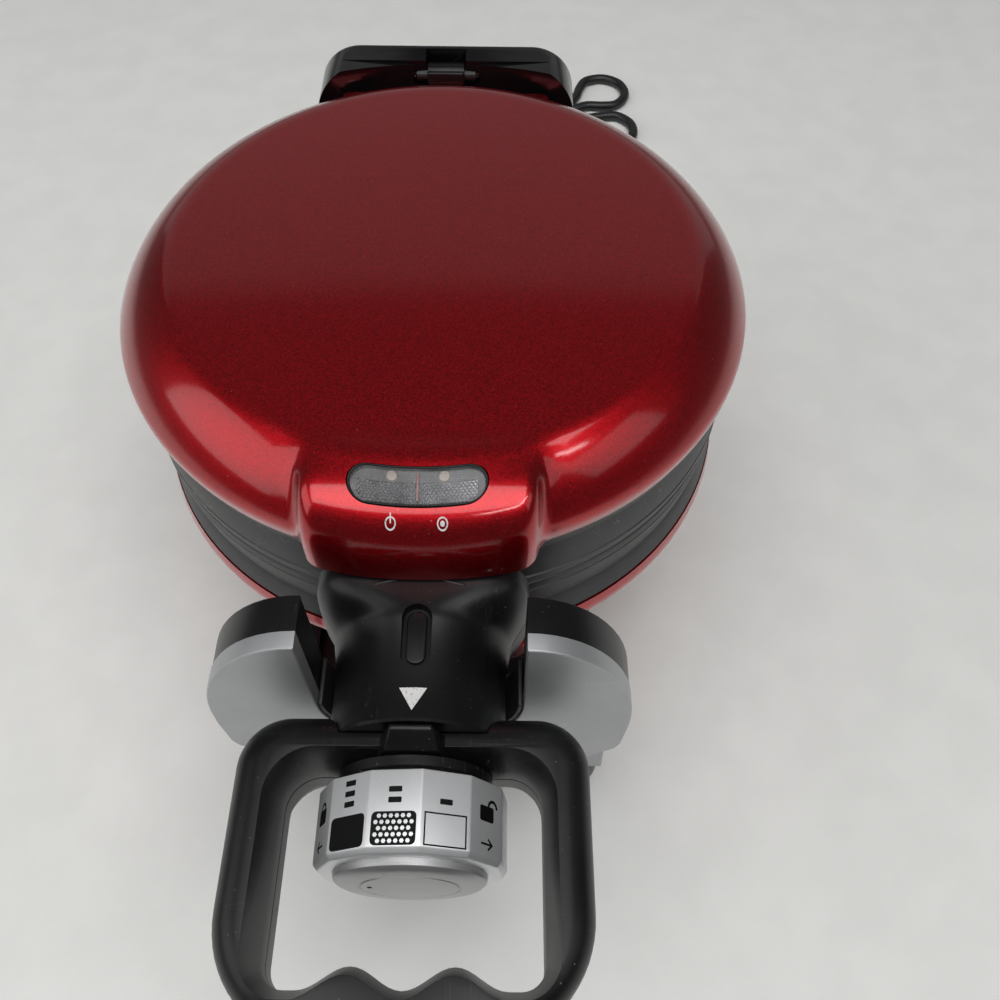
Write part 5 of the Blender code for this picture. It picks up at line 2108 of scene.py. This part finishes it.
# --- the cord --------------------------------------------------------------------------------------
@dataclass
class PowerCord:
    """The folded lead behind the stand, with its relief, tie and plug."""

    length: float = 0.870
    diameter: float = 0.0068
    strand: float = 0.0070
    tie_x: float = 0.0750
    tie_y: float = 0.3710
    exit: Point3 = (0.0300, 0.2010, -0.1290)
    plug: Point3 = (-0.0520, 0.4060, -0.1368)
    step: float = 0.0035

    def fold_at(self, x: float, y: float, heading: float) -> list[Point2]:
        """One fold's points in plan, turned by a heading in degrees.

        Args:
            x: the place across.
            y: the place from front to back.
            heading: its direction in degrees.

        Returns:
            The outline's points.
        """
        fold = [(0, -3.5), (13, -6.6), (23, -14), (33, -18.5), (46, -13.1), (51.5, 0)]
        fold += [(a, -b) for a, b in fold[4::-1]]
        turn = Matrix.Rotation(math.radians(heading), 2)
        return [tuple(Vector((x, y)) + turn @ Vector(p) * 0.001) for p in fold]

    def route(self) -> list[Point3]:
        """The cord from the strain relief to the plug.

        Returns:
            The points.
        """
        low = -LAYOUT.flip_z + self.diameter / 2 + 0.0002
        strand, tie_x, tie_y = self.strand, self.tie_x, self.tie_y
        lead_in = [self.exit, (0.0300, 0.2150, -0.1303), (0.0290, 0.2320, -0.1358), (0.0250, 0.2510, -0.1408)]
        floor = [(0.0160, 0.2780), (0.0050, 0.3040), (0.0030, 0.3270), (0.0120, 0.3460)]
        floor += [(0.0300, 0.3570), (0.0520, 0.3605)]
        floor += self.fold_at(tie_x, tie_y - strand, -24)
        floor += [(0.0520, tie_y - strand / 2), (0.0300, tie_y - strand / 2)]
        floor += self.fold_at(0.008, tie_y, 180)[::-1]
        floor += [(0.0300, tie_y + strand / 2), (0.0520, tie_y + strand / 2)]
        floor += self.fold_at(tie_x, tie_y + strand, 36)
        floor += [(0.0500, 0.3826), (0.0270, 0.3880), (0.0040, 0.3975), (-0.0180, 0.4040)]
        x, y, z = self.plug
        lead_out = [(-0.0370, y, low + 0.0020), (x + 0.0015, y, z)]
        return lead_in + [(a, b, low) for a, b in floor] + lead_out

    def smooth(self) -> list[Vector]:
        """Points at even steps along a smooth curve through the route.

        Returns:
            The points.
        """
        p = [Vector(q) for q in self.route()]
        p = [2 * p[0] - p[1], *p, 2 * p[-1] - p[-2]]
        fine = []
        for a, b, c, d in zip(p, p[1:], p[2:], p[3:]):
            for k in range(12):
                t = k / 12
                bend = 2 * a - 5 * b + 4 * c - d
                fine.append(b + ((c - a) * t + bend * t**2 + (3 * b - a - 3 * c + d) * t**3) / 2)
        fine.append(p[-2])
        lengths = [0.0]
        for a, b in zip(fine, fine[1:]):
            lengths.append(lengths[-1] + (b - a).length)
        count = round(lengths[-1] / self.step)
        out, i = [], 0
        for n in range(count + 1):
            want = lengths[-1] * n / count
            while i < len(fine) - 2 and lengths[i + 1] < want:
                i += 1
            share = (want - lengths[i]) / (lengths[i + 1] - lengths[i])
            out.append(fine[i].lerp(fine[i + 1], share))
        return out

    def jacket(self, shop: Workshop) -> bpy.types.Object:
        """The cord itself, as a round curve.

        Args:
            shop: the workshop.

        Returns:
            The object.
        """
        curve = bpy.data.curves.new("lead", "CURVE")
        curve.dimensions = "3D"
        curve.bevel_depth = self.diameter / 2
        curve.bevel_resolution = 5
        curve.use_fill_caps = True
        points = self.smooth()
        spline = curve.splines.new("POLY")
        spline.points.add(len(points) - 1)
        for point, place in zip(spline.points, points):
            point.co = (*(place + shop.head), 1.0)
        spline.use_smooth = True
        curve.materials.append(shop.palette.of(shop.palette.cord))
        lead = bpy.data.objects.new("lead", curve)
        bpy.context.scene.collection.objects.link(lead)
        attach(lead, "stand")
        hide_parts("power_cord")
        return lead

    def relief(self) -> Mould:
        """A tapered sleeve with ring grooves.

        Returns:
            The mesh.
        """
        profile = [(0.0, 0.1683), (0.0070, 0.1683), (0.0070, 0.1720), (0.0066, 0.1724)]
        for i in range(6):
            y = 0.1740 + i * 0.0042
            r = 0.0066 - (y - 0.174) / 0.0266 * 0.0021
            profile += [(r, y), (r, y + 0.0022), (r - 0.0009, y + 0.0026), (r - 0.0009, y + 0.0036)]
        profile += [(0.0045, 0.2000), (0.0041, 0.2006), (0.0, 0.2006)]
        return Mould.turned(profile, Axis.Y, 48).move(self.exit[0], 0, self.exit[2])

    def plug_parts(self, shop: Workshop) -> list[bpy.types.Object]:
        """The moulded plug and its two blades.

        Args:
            shop: the workshop.

        Returns:
            The objects.
        """
        x, y, z = self.plug
        half_w, half_h = 0.0125, 0.0080
        outline = rounded(
            [
                (x, y - 0.0052, 0.003), (x, y + 0.0052, 0.003), (x - 0.0120, y + half_w, 0.006),
                (x - 0.0360, y + half_w, 0.003), (x - 0.0360, y - half_w, 0.003),
                (x - 0.0120, y - half_w, 0.006),
            ],
            8,
        )
        body = Mould.extruded(outline, Axis.Z, z - half_h, z + half_h).soften(0.0022, 4, sharp=60)
        for i in range(4):
            for top in (-1, 1):
                rib = Mould.block(
                    (x - 0.018 - i * 0.0034, y - 0.008, min(top * half_h, top * half_h - top * 0.0006) + z),
                    (
                        x - 0.0162 - i * 0.0034, y + 0.008,
                        max(top * half_h, top * half_h - top * 0.0006) + z,
                    ),
                )
                body.carve(rib)
        made = [
            shop.show(body, "plug_moulding", shop.palette.cord, "stand", ["plug_body"])
        ]
        for number, side in ((1, -1), (2, 1)):
            low_y = y + side * 0.00635 - 0.00075
            blade = Mould.extruded(
                rounded(
                    [
                        (x - 0.0520, z - 0.00315, 0.001), (x - 0.0363, z - 0.00315, 0),
                        (x - 0.0363, z + 0.00315, 0), (x - 0.0520, z + 0.00315, 0.001),
                    ],
                    5,
                ),
                Axis.Y, 0, 0.0015,
            )
            hole = Mould.rod(Axis.Y, 0.0015, -0.01, 0.01, (x - 0.0480, z), 20)
            blade = blade.carve(hole).move(y=low_y).soften(0.0002, 2, sharp=60)
            made.append(
                shop.show(
                    blade, f"plug_pin_{number}", shop.palette.brass, "stand", [f"plug_blade_{number}"],
                ),
            )
        return made

    def build(self, shop: Workshop) -> None:
        """Makes the lead and what is on it.

        Args:
            shop: the workshop.
        """
        lead = self.jacket(shop)
        sleeve = shop.show(
            self.relief(), "cord_sleeve", shop.palette.cord, "stand", ["strain_relief"]
        )
        low, high = -LAYOUT.flip_z + 0.0001, -LAYOUT.flip_z + self.diameter + 0.0016
        half = 2 * self.strand + 0.0015
        outline = rounded(
            [
                (self.tie_y - half, low, 0), (self.tie_y + half, low, 0), (self.tie_y + half, high, 0.003),
                (self.tie_y - half, high, 0.003),
            ],
            6,
        )
        band = Mould.extruded(outline, Axis.X, 0.0600, 0.0650)
        band.carve(
            Mould.block(
                (0.05, self.tie_y - half + 0.001, -0.2), (0.07, self.tie_y + half - 0.001, high - 0.001)
            ),
        )
        tie = shop.show(
            band.soften(0.0003, 2, sharp=60), "lead_tie", shop.palette.tie, "stand", ["cord_tie"],
        )
        pieces = [sleeve, tie, *self.plug_parts(shop)]


# --- the room ---------------------------------------------------------------------------------------------
@dataclass
class Studio:
    """The floor, the lights and the camera."""

    head: Vector

    def floor(self, palette: Palette) -> None:
        """A pale floor that runs past every view.

        Args:
            palette: the finishes.
        """
        mould = Mould()
        bmesh.ops.create_grid(mould.bm, x_segments=1, y_segments=1, size=6.0)
        floor = mould.loose("floor")
        floor.data.materials.append(palette.of(palette.floor))

    def softbox(
        self, name: str, place: Point3, aim: Point3, size: Point2, watts: float, tint: Colour = (1, 1, 1)
    ) -> None:
        """One rectangular light.

        Args:
            name: its name.
            place: where it stands.
            aim: what it faces.
            size: its width and height.
            watts: its power.
            tint: its colour.
        """
        light = bpy.data.lights.new(name, "AREA")
        light.shape = "RECTANGLE"
        light.size, light.size_y = size
        light.energy = watts
        light.color = tint
        made = bpy.data.objects.new(name, light)
        bpy.context.scene.collection.objects.link(made)
        made.location = place
        made.rotation_euler = (Vector(aim) - Vector(place)).to_track_quat("-Z", "Y").to_euler()

    def lights(self) -> None:
        """The softboxes and the dim room."""
        self.softbox("left", (-1.45, -0.45, 1.10), (0.0, -0.07, 0.18), (1.5, 1.2), 8.0)
        self.softbox("right", (1.30, -0.50, 1.20), (0.0, -0.07, 0.18), (0.9, 0.7), 1.6)
        self.softbox("tube", (0.45, -0.62, 1.35), (0.0, -0.10, 0.18), (1.00, 0.08), 2.6)
        self.softbox("backdrop", (0.0, 1.9, 1.12), (0.0, 0.3, 1.0), (3.6, 1.75), 4.2)
        self.softbox("ceiling", (0.0, -0.45, 2.3), (0.0, -0.2, 0.0), (2.2, 1.5), 29.0)
        world = bpy.data.worlds.new("room")
        world.use_nodes = True
        world.node_tree.nodes["Background"].inputs["Color"].default_value = (0.93, 0.94, 0.95, 1.0)
        world.node_tree.nodes["Background"].inputs["Strength"].default_value = 0.07
        bpy.context.scene.world = world
        bpy.context.scene.view_settings.view_transform = "Standard"

    def camera(self) -> None:
        """A camera above and in front of the handle."""
        yaw, pitch, roll = 0.0044094, 0.9875764, 0.013737
        ahead = Vector((math.sin(yaw) * math.cos(pitch), math.cos(yaw) * math.cos(pitch), -math.sin(pitch)))
        right = Vector((math.cos(yaw), -math.sin(yaw), 0.0))
        above = right.cross(ahead)
        side = math.cos(roll) * right + math.sin(roll) * above
        up = -math.sin(roll) * right + math.cos(roll) * above
        data = bpy.data.cameras.new("camera")
        data.sensor_width = 36.0
        data.lens = 34.04
        data.clip_start = 0.01
        made = bpy.data.objects.new("camera", data)
        bpy.context.scene.collection.objects.link(made)
        place = self.head + Vector((0.0248032, -0.2709106, 0.296364))
        made.matrix_world = Matrix.Translation(place) @ Matrix((side, up, -ahead)).transposed().to_4x4()
        bpy.context.scene.camera = made

    def build(self, palette: Palette) -> None:
        """Sets up the room.

        Args:
            palette: the finishes.
        """
        self.floor(palette)
        self.lights()
        self.camera()
        log.info("room, lights and camera are in place")


def dress_hidden_steel(shop: Workshop) -> None:
    """Gives the CAD nodes that stay in view their finishes.

    Args:
        shop: the workshop.
    """
    paint = shop.palette
    for half in ("upper", "lower"):
        shop.dress(paint.bright_steel, f"{half}_heating_element", f"{half}_reflector")
    shop.dress(
        paint.bright_steel, "pivot_tube", "retaining_ring", "dial_shaft", "detent_spring", "detent_plunger"
    )
    shop.dress(paint.bright_steel, "thermal_fuse")
    shop.dress(paint.black_steel, "hinge_pin")
    shop.dress(paint.nylon, "pivot_bush", "lock_cam")
    shop.dress(paint.ceramic, "thermostat")


def main() -> None:
    """Builds the waffle maker around its frame."""
    logging.basicConfig(level=logging.INFO, format="%(name)s: %(message)s")
    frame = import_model()
    low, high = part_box("dial_knob")
    head = Vector((0.0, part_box("hinge_pin")[0][1] + 0.003 - LAYOUT.hinge_y, (low[2] + high[2]) / 2))
    shop = Workshop(frame, Palette(), head)
    log.info("the head's centre is at %s", tuple(round(c, 4) for c in head))
    for part in (RedShell(), Skirt(), WafflePlate(), Collar(), LoopHandle(), Indicator(), Dial()):
        part.build(shop)
    for part in (RearHousing(), Yoke(), Base(), PowerCord()):
        part.build(shop)
    dress_hidden_steel(shop)
    Studio(head).build(shop.palette)


if __name__ == "__main__":
    main()
